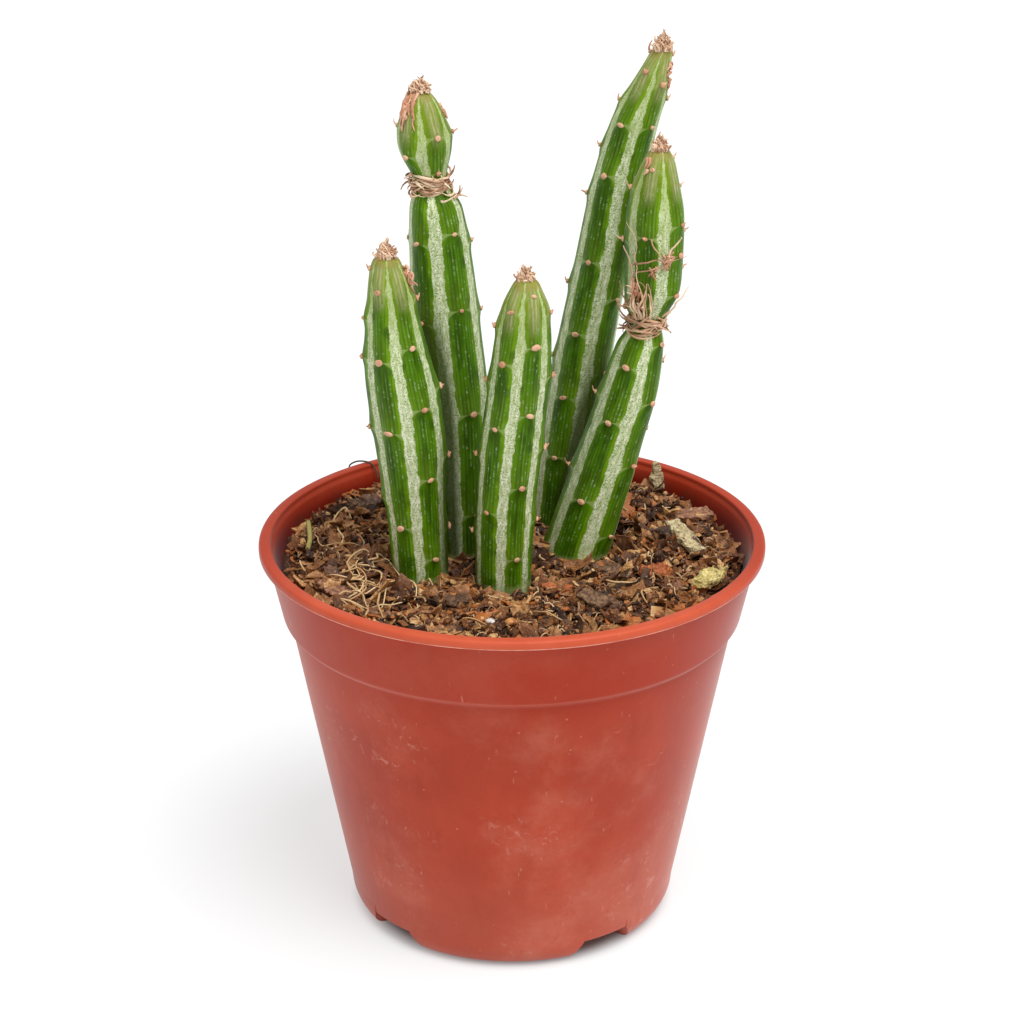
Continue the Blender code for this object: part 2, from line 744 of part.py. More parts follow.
def make_fibre(name, points, radius, material, ground, parts):
    """A thin rootlet or stalk that lies over the compost."""
    flat = [Vector((x * MM, y * MM)) for x, y in points]
    route = catmull_rom(flat, ROOTLET_STEPS)
    curve = bpy.data.curves.new(name, "CURVE")
    curve.dimensions = "3D"
    curve.bevel_depth = radius
    curve.bevel_resolution = 1
    curve.use_fill_caps = True
    spline = curve.splines.new("POLY")
    spline.points.add(len(route) - 1)
    reach = 2 * radius
    for point, place in zip(spline.points, route):
        around = [
            ground(place.x + reach * step_x, place.y + reach * step_y)
            for step_x in (-1, 0, 1)
            for step_y in (-1, 0, 1)
        ]
        point.co = (place.x, place.y, max(around) + radius + LITTER_GAP, 1.0)
    curve.materials.append(make_material(material))
    item = bpy.data.objects.new(name, curve)
    parts.objects.link(item)
    return item


def make_grit(name, ground, parts):
    (x, y), radius = GRIT[name]
    shape = bmesh.new()
    place = Matrix.Translation((x * MM, y * MM, POT_HEIGHT)) @ Matrix.Diagonal((1.2, 0.9, 0.8, 1.0))
    bmesh.ops.create_icosphere(shape, subdivisions=2, radius=radius, matrix=place)
    settle(shape, ground, LITTER_GAP)
    return add_object(name, shape, "grit", parts)


def main():
    clear_scene()
    parts = new_collection("potted_pickle_plant")
    cutters = new_collection("cutters")
    make_pot(parts, cutters)
    soil = make_soil(parts, cutters)
    for name in STEMS:
        make_stem(name, parts)
        make_crown(name.replace("stem", "crown"), name, parts)
    for name in NECK_COLLARS:
        make_neck_collar(name, parts)
    ground = ground_under(soil)
    for name in FLAKES:
        make_flake(name, ground, parts)
    make_standing_chip(ground, parts)
    make_fibre("grass_stalk", STALK_POINTS, STALK_RADIUS, "stalk", ground, parts)
    for name, points in ROOTLETS.items():
        make_fibre(name, points, ROOTLET_RADIUS, "rootlet", ground, parts)
    for name in GRIT:
        make_grit(name, ground, parts)


main()
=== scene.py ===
"""A potted pickle plant: striped ribbed stems in a moulded pot of bark compost, in full detail."""

import math
import random
from functools import lru_cache

import bmesh
import bpy
import numpy as np
from mathutils import Matrix, Vector
from mathutils import noise as solid_noise
from mathutils.bvhtree import BVHTree


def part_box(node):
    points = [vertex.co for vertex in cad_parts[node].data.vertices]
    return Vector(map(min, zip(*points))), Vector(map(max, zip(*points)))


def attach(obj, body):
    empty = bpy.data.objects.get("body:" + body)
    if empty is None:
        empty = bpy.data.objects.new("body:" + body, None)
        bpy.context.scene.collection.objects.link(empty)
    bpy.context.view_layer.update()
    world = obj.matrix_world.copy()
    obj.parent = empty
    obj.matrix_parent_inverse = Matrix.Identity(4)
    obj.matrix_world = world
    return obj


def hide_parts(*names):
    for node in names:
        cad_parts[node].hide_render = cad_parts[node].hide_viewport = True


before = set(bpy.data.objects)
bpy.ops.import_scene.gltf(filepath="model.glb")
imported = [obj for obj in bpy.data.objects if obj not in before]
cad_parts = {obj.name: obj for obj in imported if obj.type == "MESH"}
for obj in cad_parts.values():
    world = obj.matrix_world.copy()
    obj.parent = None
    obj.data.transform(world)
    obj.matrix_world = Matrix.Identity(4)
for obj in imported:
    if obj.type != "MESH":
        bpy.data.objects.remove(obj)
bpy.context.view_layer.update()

bl_info = {
    "name": "Potted Pickle Plant",
    "version": (1, 0, 0),
    "blender": (4, 5, 0),
    "location": "3D View > Sidebar > Pickle Plant",
    "description": "Builds a potted pickle plant piece by piece around its frame",
    "category": "Add Mesh",
}

MM = 0.001
WELD = 0.000002
BODY = "root"

# Blender seeds this noise from the clock unless it is given a seed.
solid_noise.seed_set(5)

# The leaf scars of the ribs that face the front, as distances below the stem's tip in
# millimetres. The other ribs draw theirs.
LEAF_SCARS = {
    "front_left": {
        0: (18.2, 30.9, 46.2, 64.2),
        5: (7.0, 21.0, 35.8, 57.1),
        1: (9.5, 28.2, 43.0, 59.0),
        4: (3.2, 13.4, 21.6, 36.6, 52.0),
    },
    "back_left": {
        0: (9.1, 16.5, 28.5, 44.0, 65.9, 88.0),
        4: (5.3, 13.1, 30.6, 46.9, 64.0, 83.0),
        3: (8.3, 20.4, 31.5, 50.0, 71.0),
    },
    "front_middle": {
        5: (6.3, 16.8, 30.5, 48.7),
        0: (3.2, 13.1, 27.4, 43.1, 59.0),
        1: (7.4, 20.6, 36.0, 52.0),
        4: (10.5, 22.0, 38.0, 55.0),
    },
    "tall_right": {
        4: (4.8, 15.3, 25.8, 43.8, 59.2, 73.0, 86.4),
        0: (7.3, 15.8, 27.9, 38.0, 52.0, 68.0, 82.0),
        3: (1.5, 11.5, 21.0, 31.0, 50.0, 66.0),
        1: (2.0, 11.2, 22.0, 35.0, 49.0),
    },
    "front_right": {
        4: (4.0, 17.4, 32.0, 44.9, 56.6, 73.8),
        0: (15.2, 21.4, 30.0, 40.7, 53.0, 66.6, 82.1),
        1: (3.0, 9.0, 18.4, 26.0, 31.5, 46.0, 61.0),
    },
}
STEMS = tuple(LEAF_SCARS)
# How far a stem's ribs twist from root to tip, in degrees.
TWISTS = {"tall_right": -14.0, "front_right": 8.0}
COLLARED_STEMS = ("back_left", "front_right")


def share(value):
    """A value kept between 0 and 1."""
    return max(0.0, min(1.0, value))


def from_srgb(red, green, blue):
    """A colour given as 0 to 255 display values, as the linear colour that shaders use."""
    linear = []
    for value in (red, green, blue):
        shown = value / 255
        linear.append(shown / 12.92 if shown < 0.04045 else ((shown + 0.055) / 1.055) ** 2.4)
    return (*linear, 1.0)


# ---------------------------------------------------------------- shader maths


class Wire:
    """A shader socket in an expression: arithmetic on it adds the Math nodes that it needs."""

    def __init__(self, graph, socket):
        self.graph = graph
        self.socket = socket

    def math(self, operation, *others, clamp=False):
        inputs = dict(enumerate((self, *others)))
        settings = {"operation": operation, "use_clamp": clamp}
        return self.graph.add("ShaderNodeMath", settings, inputs)

    def __add__(self, other):
        return self.math("ADD", other)

    def __radd__(self, other):
        return self.math("ADD", other)

    def __sub__(self, other):
        return self.math("SUBTRACT", other)

    def __rsub__(self, other):
        return self.graph.add("ShaderNodeMath", {"operation": "SUBTRACT"}, {0: other, 1: self})

    def __mul__(self, other):
        return self.math("MULTIPLY", other)

    def __rmul__(self, other):
        return self.math("MULTIPLY", other)

    def __pow__(self, other):
        return self.math("POWER", other)

    def __abs__(self):
        return self.math("ABSOLUTE")

    def floor(self):
        return self.math("FLOOR")

    def clamped(self):
        return self.math("ADD", 0.0, clamp=True)

    def most(self, other):
        return self.math("MAXIMUM", other)

    def step(self, low, high):
        """0 below low, 1 above high and smooth between them; turned round if high is lower."""
        settings = {"interpolation_type": "SMOOTHSTEP"}
        inputs = {"Value": self, "From Min": low, "From Max": high}
        if high < low:
            inputs = {"Value": self, "From Min": high, "From Max": low}
            inputs |= {"To Min": 1.0, "To Max": 0.0}
        return self.graph.add("ShaderNodeMapRange", settings, inputs)


class Graph:
    """A new material and the nodes of its shader."""

    def __init__(self, name):
        self.material = bpy.data.materials.new(name)
        self.material.use_nodes = True
        self.tree = self.material.node_tree
        self.shader = self.tree.nodes["Principled BSDF"]

    def put(self, socket, value):
        if isinstance(value, Wire):
            self.tree.links.new(value.socket, socket)
        else:
            socket.default_value = value

    def add(self, kind, settings, inputs, output=0):
        """A node of a kind, with its settings made first and then its inputs."""
        node = self.tree.nodes.new(kind)
        for name, value in settings.items():
            if name == "stops":
                ramp = node.color_ramp
                while len(ramp.elements) < len(value):
                    ramp.elements.new(0.5)
                for element, (place, color) in zip(ramp.elements, value):
                    element.position = place
                    element.color = color
            else:
                setattr(node, name, value)
        for name, value in inputs.items():
            self.put(node.inputs[name], value)
        return Wire(self, node.outputs[output])

    def uv(self, name):
        """The two coordinates of one of the piece's own UV maps."""
        vector = self.add("ShaderNodeUVMap", {"uv_map": name}, {})
        return [self.add("ShaderNodeSeparateXYZ", {}, {0: vector}, side) for side in (0, 1)]

    def attribute(self, name):
        settings = {"attribute_type": "GEOMETRY", "attribute_name": name}
        return self.add("ShaderNodeAttribute", settings, {}, 2)

    def place(self):
        return self.add("ShaderNodeTexCoord", {}, {}, 3)

    def parts(self, vector):
        return [self.add("ShaderNodeSeparateXYZ", {}, {0: vector}, side) for side in range(3)]

    def vector(self, x, y, z):
        return self.add("ShaderNodeCombineXYZ", {}, {0: x, 1: y, 2: z})

    def noise(self, vector, scale, detail=2.0, roughness=0.5, distortion=0.0):
        inputs = {
            "Vector": vector,
            "Scale": scale,
            "Detail": detail,
            "Roughness": roughness,
            "Distortion": distortion,
        }
        return self.add("ShaderNodeTexNoise", {}, inputs)

    def cells(self, vector, scale):
        return self.add("ShaderNodeTexVoronoi", {}, {"Vector": vector, "Scale": scale})

    def mix(self, factor, first, second):
        inputs = {0: factor, 6: first, 7: second}
        return self.add("ShaderNodeMix", {"data_type": "RGBA"}, inputs, 2)

    def ramp(self, value, stops):
        return self.add("ShaderNodeValToRGB", {"stops": stops}, {0: value})

    def bump(self, height, distance, strength=1.0):
        inputs = {"Height": height, "Distance": distance, "Strength": strength}
        return self.add("ShaderNodeBump", {}, inputs)

    def finish(self, **values):
        """Set the shader's sockets, with spaces for underscores, and hand over the material."""
        for name, value in values.items():
            self.put(self.shader.inputs[name.replace("_", " ")], value)
        return self.material


# ---------------------------------------------------------------- materials


def pot_material(color, dust_color):
    """Satin moulded plastic, handled and dusty, with painted highlights on the lip, along the
    lip's lower edge and at the collar's step, and painted shade on the inner wall.
    """
    graph = Graph("moulded terracotta plastic")
    place = graph.place()
    x, y, z = graph.parts(place)
    millimetres = z * 1000
    low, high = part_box("pot")
    rim = high.z / MM
    radius = (x * x + y * y).math("SQRT") * 1000
    cloud = graph.noise(place, 42.0, 5.0, 0.62)
    smear = graph.noise(graph.vector(x, y, z * 0.35), 120.0, 4.0, 0.6)
    fine = graph.noise(place, 900.0, 3.0, 0.6)
    outside = (radius - 0.2 * millimetres).step(30.0, 34.0)
    lighter = graph.mix(cloud.step(0.35, 0.7), color, from_srgb(180, 64, 36))
    darker = graph.mix(smear.step(0.5, 0.8) * 0.5, lighter, from_srgb(148, 42, 20))
    body = millimetres.step(rim - 14.0, rim - 26.0)
    dusty = graph.noise(place, 26.0, 6.0, 0.68)
    smudge = dusty.step(0.46, 0.74) * (0.12 + 0.28 * body)
    collar = graph.mix((1 - body) * 0.7, darker, from_srgb(166, 42, 8))
    worn = graph.mix(smudge, collar, dust_color)
    worn = graph.mix(millimetres.step(36.0, 6.0) * 0.14, worn, dust_color)
    speck_at = graph.cells(place, 420.0)
    speck_pick = graph.noise(place, 240.0, 1.0)
    speck = speck_at.step(0.16, 0.06) * speck_pick.step(0.6, 0.68)
    specked = graph.mix(speck * 0.4, worn, from_srgb(214, 132, 110))
    scratch_at = graph.vector(x * 3.0, y * 3.0, z * 0.5 + x)
    scratch = graph.noise(scratch_at, 300.0, 2.0, 0.5)
    scratch = scratch.step(0.69, 0.74) * graph.noise(place, 60.0, 2.0).step(0.52, 0.62)
    scratched = graph.mix(scratch * 0.35, specked, from_srgb(222, 140, 120))
    rubbed = graph.noise(place, 48.0, 3.0, 0.6).step(0.53, 0.62) * body
    for scale, shift in ((230.0, 0.0), (330.0, 0.4)):
        field = graph.noise(graph.vector(x + shift, y, z * 0.5 + x * 0.5), scale, 1.0, 0.5, 0.3)
        line = abs(field - 0.5).step(0.022, 0.006)
        broken = graph.noise(graph.vector(x, y + shift, z), 420.0, 2.0).step(0.5, 0.6)
        scratched = graph.mix(line * broken * rubbed * 0.15, scratched, from_srgb(216, 150, 134))
    fleck = graph.noise(graph.vector(x, y, z * 1.3), 260.0, 3.0, 0.7, 0.4).step(0.61, 0.7)
    scratched = graph.mix(fleck * rubbed * 0.45, scratched, from_srgb(208, 138, 120))
    pits = graph.noise(place, 1500.0, 2.0, 0.6).step(0.62, 0.72)
    scratched = graph.mix(pits * 0.25, scratched, from_srgb(126, 40, 20))
    # Painted highlight: the lip is painted lighter where the light falls on it, most on the front.
    ahead = (y * -1000).step(10.0, 40.0)
    lip = millimetres.step(rim - 1.9, rim - 1.6) * (0.4 + 0.5 * smear) * (0.2 + 0.8 * ahead)
    scratched = graph.mix(lip * 0.8, scratched, from_srgb(222, 104, 70))
    # A thin pale line along the lip's lower edge: a painted highlight where the edge catches the
    # light.
    under_lip = rim - 1.85
    flash = abs(millimetres - under_lip).step(0.34, 0.12) * radius.step(51.0, 51.4)
    flash = flash * (0.45 + 0.75 * graph.noise(place, 260.0, 2.0).step(0.35, 0.6))
    ringed = graph.mix(flash.clamped(), scratched, from_srgb(236, 168, 146))
    # A lighter line along the collar's step: a painted highlight.
    collar_step = rim - 15.9
    step_edge = abs(millimetres - collar_step).step(0.3, 0.05)
    stepped = graph.mix(step_edge * 0.3, ringed, from_srgb(214, 112, 84))
    # The inner wall between the compost and the lip is painted darker and redder as painted shade.
    # Mud then streaks it.
    soil_edge = millimetres.step(rim - 1.5, rim - 5.0) * millimetres.step(rim - 15.0, rim - 6.0)
    inside = (radius - 0.163 * millimetres).step(36.6, 36.2) * soil_edge
    muddy = graph.noise(place, 150.0, 4.0, 0.7).step(0.5, 0.66)
    shaded = graph.mix(inside * 0.88, stepped, from_srgb(114, 16, 2))
    soiled = graph.mix(inside * muddy * 0.45, shaded, from_srgb(84, 50, 34))
    surface = graph.bump(cloud * 0.6 + fine * 0.4, 0.00012, 0.35)
    rough = 0.34 + 0.14 * cloud + 0.3 * smudge + 0.05 * outside
    return graph.finish(
        Base_Color=soiled,
        Roughness=rough,
        Normal=surface,
        Specular_IOR_Level=0.2,
        Sheen_Weight=0.24,
        Sheen_Roughness=0.3,
    )


def stem_material(name, settings, soil_level):
    """Striped skin: silver bands in the furrows, and dark panels that start under each scar."""
    graph = Graph(name)
    turn, depth = graph.uv("skin")
    shade = graph.attribute("shade")
    below, above = graph.uv("cell")
    width, height = graph.uv("girth")
    rib = (turn + 0.5).floor()
    aside = (turn - rib) * width
    ribs_at = graph.vector(aside + rib * 17.0, depth, rib * 5.0)
    long_way = graph.vector(aside + rib * 17.0, depth * 0.3, rib * 5.0)
    panel_rib = turn.floor()
    across = (turn - panel_rib - 0.5) * width
    off_centre = abs(across)
    wander = graph.noise(ribs_at, 0.35, 3.0, 0.6) - 0.5
    ragged = graph.noise(ribs_at, 2.2, 2.0, 0.6) - 0.5

    # The panel's half width, a little less just under a scar and just above the next one.
    grown = depth.step(0.0, 16.0)
    band = width * (0.05 + 0.115 * grown)
    near_scar = below.step(1.6, 0.1) + above.step(2.2, 0.1)
    half = (width * 0.5 - band) * (1 - 0.13 * near_scar)
    edge = half - off_centre + wander * 1.3 + ragged * 0.45
    panel = edge.step(-0.1, 0.12)
    lit_side = across.step(-0.6, 0.6) * 0.5 + 0.5
    margin = edge.step(1.4, 0.3) * lit_side * graph.noise(ribs_at, 0.25, 1.0).step(0.3, 0.55)

    # The silver band, freckled with green and streaked along the stem.
    freckle = graph.noise(ribs_at, settings.freckle_scale, 2.0, 0.75)
    crowd = graph.noise(long_way, 0.55, 2.0, 0.5).step(0.3, 0.7)
    freckles = (freckle - 0.05 * crowd).step(0.515, 0.56) * 0.85
    streak = graph.noise(long_way, 1.4, 2.0, 0.5)
    silver = graph.mix(streak.step(0.35, 0.68), settings.silver_low, settings.silver_high)
    silver = graph.mix(freckles, silver, from_srgb(96, 128, 34))
    near_tip = depth.step(28.0, 4.0)
    silver = graph.mix(near_tip * 0.55, silver, from_srgb(146, 168, 66))

    # The green panel: dark under its scar, paler above the next, bright at its margin, with
    # rows of pale dashes and hairlines along it.
    blotch = graph.noise(long_way, 0.5, 3.0, 0.5)
    green = graph.mix(blotch.step(0.36, 0.62), settings.green_low, settings.green_mid)
    green = graph.mix(above.step(10.0, 0.0) * 0.4, green, from_srgb(104, 136, 22))
    green = graph.mix(margin * 0.75, green, settings.green_high)
    row_at = across * (1 / settings.dash_spacing) + 0.5
    row = row_at.floor()
    off_row = abs(row_at - row - 0.5) * 2
    dash_at = graph.vector(row * 3.7 + panel_rib * 11.0, depth * 0.6 + row * 2.3, 0.0)
    dash = graph.noise(dash_at, 1.0, 3.0, 0.75).step(0.52, 0.62)
    thin = off_row.step(0.62, 0.3)
    wobble = graph.noise(ribs_at, 2.0, 2.0, 0.75).step(0.42, 0.55)
    inner = edge.step(0.25, 0.7) * below.step(1.2, 2.6)
    crowding = 0.25 + 0.75 * graph.noise(long_way, 0.6, 2.0).step(0.38, 0.62)
    dashes = dash * thin * wobble * inner * crowding
    hair_at = graph.vector(row * 5.1 + panel_rib * 7.0, depth * 0.12 + row * 1.3, 3.0)
    hair = graph.noise(hair_at, 1.0, 1.0).step(0.52, 0.64) * off_row.step(0.3, 0.1)
    groove = off_row.step(0.55, 0.95) * inner
    green = graph.mix(groove * 0.35, green, from_srgb(30, 60, 0))
    green = graph.mix(hair * inner * 0.35, green, from_srgb(136, 166, 88))
    green = graph.mix(dashes * 0.75, green, from_srgb(168, 190, 140))
    arch = (1 - (1 - below * (1 / 2.6)).most(0.0) ** 2).most(0.0).math("SQRT")
    crest = (off_centre - half * arch).step(-0.1, 0.3) * below.step(3.2, 1.6)
    green = graph.mix(crest * 0.8, green, from_srgb(140, 164, 88))

    # The young tip is olive, with dull windows on its ribs.
    olive = depth.step(14.0, 2.0)
    green = graph.mix(olive * 0.7, green, from_srgb(128, 144, 32))
    window = depth.step(12.0, 7.5) * depth.step(0.5, 3.0) * off_centre.step(1.6, 0.6)
    window = window * settings.window_strength * (0.5 + 0.5 * streak.step(0.35, 0.6))
    green = graph.mix(window * (1 - 0.6 * off_row.step(0.7, 0.3)), green, from_srgb(182, 178, 132))
    skin = graph.mix(panel, silver, green)
    reddish = depth.step(3.2, 0.6) * graph.noise(ribs_at, 0.5, 2.0).step(0.35, 0.6)
    skin = graph.mix(reddish * 0.6, skin, from_srgb(178, 138, 92))

    # Skin that a neighbouring stem shades stays dull and dark.
    speckled = graph.noise(ribs_at, 4.0, 2.0, 0.7).step(0.42, 0.6)
    dull = graph.mix(speckled * 0.5, from_srgb(44, 62, 8), from_srgb(92, 104, 34))
    skin = graph.mix((shade * 1.9).clamped() * 0.9, skin, dull)

    # Soil dust at the foot.
    foot = height.step(soil_level + 5.0, soil_level - 0.5)
    grime = foot * graph.noise(ribs_at, 0.9, 4.0, 0.7).step(0.52, 0.68)
    skin = graph.mix(foot.step(0.75, 1.0) * 0.4, skin, from_srgb(178, 190, 120))
    skin = graph.mix(grime * 0.7, skin, from_srgb(112, 84, 58))
    relief = dashes * 0.5 + freckle * 0.3 + panel * 0.8 - groove * 0.5
    surface = graph.bump(relief, 0.00016, 0.5)
    rough = 0.5 - 0.12 * panel + 0.1 * freckle
    return graph.finish(
        Specular_IOR_Level=0.13,
        Base_Color=skin,
        Roughness=rough,
        Normal=surface,
        Subsurface_Weight=0.06,
        Subsurface_Radius=(0.4, 1.0, 0.2),
        Subsurface_Scale=0.0012,
    )


def dried_material(name, *shades):
    """Dried plant matter, mottled and fibrous, in a dark, a middle and a pale shade."""
    dark, mid, pale = (from_srgb(*shade) for shade in shades)
    graph = Graph(name)
    place = graph.place()
    tone = graph.attribute("tone")
    x, y, z = graph.parts(place)
    mottle = graph.noise(place, 700.0, 4.0, 0.65)
    thread = graph.noise(graph.vector(x, y, z * 0.3), 2200.0, 2.0, 0.6)
    value = (tone * 0.62 + mottle * 0.38).clamped()
    color = graph.ramp(value, [(0.15, dark), (0.42, mid), (0.72, pale)])
    color = graph.mix(thread.step(0.55, 0.75) * 0.35, color, dark)
    surface = graph.bump(mottle * 0.5 + thread * 0.5, 0.00015, 0.6)
    return graph.finish(Base_Color=color, Roughness=0.6 + 0.3 * mottle, Normal=surface)


def compost_material():
    """Bark compost: each chip's own tone, from near black through brown to orange and tan."""
    graph = Graph("bark compost")
    place = graph.place()
    tone = graph.attribute("tone")
    mottle = graph.noise(place, 480.0, 5.0, 0.7)
    fine = graph.noise(place, 1900.0, 3.0, 0.65)
    value = (tone + (mottle - 0.5) * 0.6 + (fine - 0.5) * 0.7).clamped()
    stops = [
        (0.0, from_srgb(26, 13, 6)),
        (0.2, from_srgb(67, 37, 18)),
        (0.42, from_srgb(115, 68, 34)),
        (0.6, from_srgb(152, 99, 56)),
        (0.76, from_srgb(198, 149, 92)),
        (0.87, from_srgb(226, 190, 134)),
        (0.93, from_srgb(162, 92, 42)),
        (1.0, from_srgb(178, 104, 48)),
    ]
    color = graph.ramp(value, stops)
    # Fine dark flecks: painted shade in the small gaps of the compost.
    color = graph.mix(fine.step(0.52, 0.72) * 0.4, color, from_srgb(52, 32, 22))
    # Pale glints: painted highlights.
    glint = graph.noise(place, 1300.0, 3.0, 0.7).step(0.6, 0.68)
    color = graph.mix(glint * 0.5, color, from_srgb(206, 170, 132))
    surface = graph.bump(mottle * 0.6 + fine * 0.4, 0.0005, 1.0)
    rough = 0.16 + 0.7 * graph.noise(place, 420.0, 3.0)
    return graph.finish(
        Base_Color=color, Roughness=rough, Normal=surface, Specular_IOR_Level=0.42
    )


def chip_material(name, *shades):
    """A chip of bark or wood, with grain along it and crumbs in its hollows."""
    dark, mid, pale = (from_srgb(*shade) for shade in shades)
    graph = Graph(name)
    place = graph.place()
    x, y, z = graph.parts(place)
    grain_at = graph.vector(x, y * 0.35, z * 2.5)
    lines = graph.noise(grain_at, 1500.0, 3.0, 0.6, 0.6)
    patch = graph.noise(place, 300.0, 4.0, 0.65)
    value = (lines * 0.6 + patch * 0.4).clamped()
    color = graph.ramp(value, [(0.38, dark), (0.5, mid), (0.6, pale)])
    crumbs = graph.noise(place, 800.0, 4.0, 0.75)
    color = graph.mix(crumbs.step(0.54, 0.66) * 0.7, color, from_srgb(58, 38, 24))
    color = graph.mix(crumbs.step(0.42, 0.34) * 0.5, color, pale)
    surface = graph.bump(lines * 0.6 + crumbs * 0.4, 0.0006, 1.0)
    return graph.finish(Base_Color=color, Roughness=0.55 + 0.3 * patch, Normal=surface)


def grit_material(name, low, high):
    """A translucent grain of grit."""
    graph = Graph(name)
    patch = graph.noise(graph.place(), 900.0, 3.0, 0.6)
    surface = graph.bump(patch, 0.00015, 0.5)
    color = graph.mix(patch.step(0.35, 0.65), from_srgb(*low), from_srgb(*high))
    return graph.finish(Base_Color=color, Roughness=0.28 + 0.2 * patch, Normal=surface)


def floor_material(color, glow, shaded):
    """A plain pale floor that glows a little; the glow fades out under the pot's foot, as a
    painted contact shadow.
    """
    graph = Graph("pale floor")
    place = graph.place()
    x, y, z = graph.parts(place)
    radius = (x * x + y * y).math("SQRT") * 1000
    tooth = graph.noise(place, 40.0, 2.0)
    # The glow is dimmed under the pot's foot: a painted contact shadow.
    open_floor = radius.step(shaded - 6.0, shaded + 1.0)
    return graph.finish(
        Base_Color=color,
        Roughness=0.9 + 0.05 * tooth,
        Specular_IOR_Level=0.0,
        Emission_Color=graph.mix(open_floor, (0.02, 0.02, 0.02, 1.0), (1.0, 1.0, 1.0, 1.0)),
        Emission_Strength=glow,
    )


# ---------------------------------------------------------------- making pieces


def new_piece(name, mesh, material, slot, replaced=(), sharp=None):
    """Put a finished mesh in the scene as one piece that rides on the plant's body."""
    mesh.materials.clear()
    mesh.materials.append(material)
    mesh.shade_smooth()
    if sharp is not None:
        mesh.set_sharp_from_angle(angle=math.radians(sharp))
    piece = bpy.data.objects.new(name, mesh)
    bpy.context.scene.collection.objects.link(piece)
    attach(piece, BODY)
    if replaced:
        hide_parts(*replaced)
    return piece


def to_mesh(shape, name, normals=True):
    if normals:
        bmesh.ops.recalc_face_normals(shape, faces=shape.faces)
    mesh = bpy.data.meshes.new(name)
    shape.to_mesh(mesh)
    shape.free()
    return mesh


def set_tones(mesh, tones, attribute="tone"):
    """Give each vertex its own tone, or all of them the same one."""
    layer = mesh.attributes.new(attribute, "FLOAT", "POINT")
    every = np.broadcast_to(np.asarray(tones, np.float32), len(mesh.vertices))
    layer.data.foreach_set("value", np.ascontiguousarray(every))


def smooth_route(points, steps):
    """Points on a smooth curve through the given points."""
    ends = [2 * points[0] - points[1], *points, 2 * points[-1] - points[-2]]
    route = []
    for before, start, end, after in zip(ends, ends[1:], ends[2:], ends[3:]):
        for step in range(steps):
            t = step / steps
            bend = (2 * before - 5 * start + 4 * end - after) * t**2
            turn = (3 * start - before - 3 * end + after) * t**3
            route.append(0.5 * (2 * start + (end - before) * t + bend + turn))
    return route + [points[-1]]


def wandering(points, size, reach):
    """The points of a route, each moved a little by smooth noise."""
    return [point + solid_noise.noise_vector(point / size) * reach for point in points]


def strand_along(steps, path, thickness, tone):
    """A strand from its point and its radius at each share of its length."""
    shares = [step / (steps - 1) for step in range(steps)]
    return [path(t) for t in shares], [thickness(t) for t in shares], tone


def strands_mesh(name, strands, resolution=1):
    """Tapering fibres, each given as its points, its radii and its tone, in one mesh."""
    curve = bpy.data.curves.new(name, "CURVE")
    curve.dimensions = "3D"
    curve.bevel_depth = 1.0
    curve.bevel_resolution = resolution
    curve.use_fill_caps = True
    for points, radii, _ in strands:
        spline = curve.splines.new("POLY")
        spline.points.add(len(points) - 1)
        for knot, point, radius in zip(spline.points, points, radii):
            knot.co = (*point, 1.0)
            knot.radius = radius
    item = bpy.data.objects.new(name, curve)
    bpy.context.scene.collection.objects.link(item)
    graph = bpy.context.evaluated_depsgraph_get()
    made = bpy.data.meshes.new_from_object(item.evaluated_get(graph))
    bpy.data.objects.remove(item)
    bpy.data.curves.remove(curve)
    shape = bmesh.new()
    shape.from_mesh(made)
    bpy.data.meshes.remove(made)
    bmesh.ops.remove_doubles(shape, verts=shape.verts, dist=WELD)
    tones = island_tones(shape, strands)
    mesh = to_mesh(shape, name)
    set_tones(mesh, tones)
    return mesh


def island_tones(shape, strands):
    """Each vertex's tone: the strands' meshes follow each other in the strands' own order."""
    shape.verts.ensure_lookup_table()
    shape.verts.index_update()
    tones = np.full(len(shape.verts), 0.5, np.float32)
    seen = set()
    remaining = iter(strands)
    for vertex in shape.verts:
        if vertex.index in seen:
            continue
        strand = next(remaining, None)
        if strand is None:
            break
        island = {vertex.index}
        queue = [vertex]
        while queue:
            for edge in queue.pop().link_edges:
                for other in edge.verts:
                    if other.index not in island:
                        island.add(other.index)
                        queue.append(other)
        seen |= island
        tones[list(island)] = strand[2]
    return tones


# ---------------------------------------------------------------- kinds of setting


def length_setting(name, description, default):
    return bpy.props.FloatProperty(
        name=name, description=description, default=default, unit="LENGTH", precision=5
    )


def color_setting(name, description, default):
    return bpy.props.FloatVectorProperty(
        name=name, description=description, default=default, subtype="COLOR", size=4
    )


def number_setting(name, description, default, low=0.0, high=100.0):
    return bpy.props.FloatProperty(
        name=name, description=description, default=default, min=low, max=high
    )


def count_setting(name, description, default):
    return bpy.props.IntProperty(name=name, description=description, default=default, min=0)


# ---------------------------------------------------------------- pot


FULL_TURN = 6.28
POT_STEPS = 192
FOOT_STEPS = 36
# The pot's sizes in millimetres: how far its heel lies inside its rim, its drain hole's
# radius, and the heights of the top of its floor and of the top of its feet.
HEEL_INSET = 17.8
DRAIN_RADIUS = 4.0
FLOOR_TOP = 6.1
FOOT_TOP = 8.0


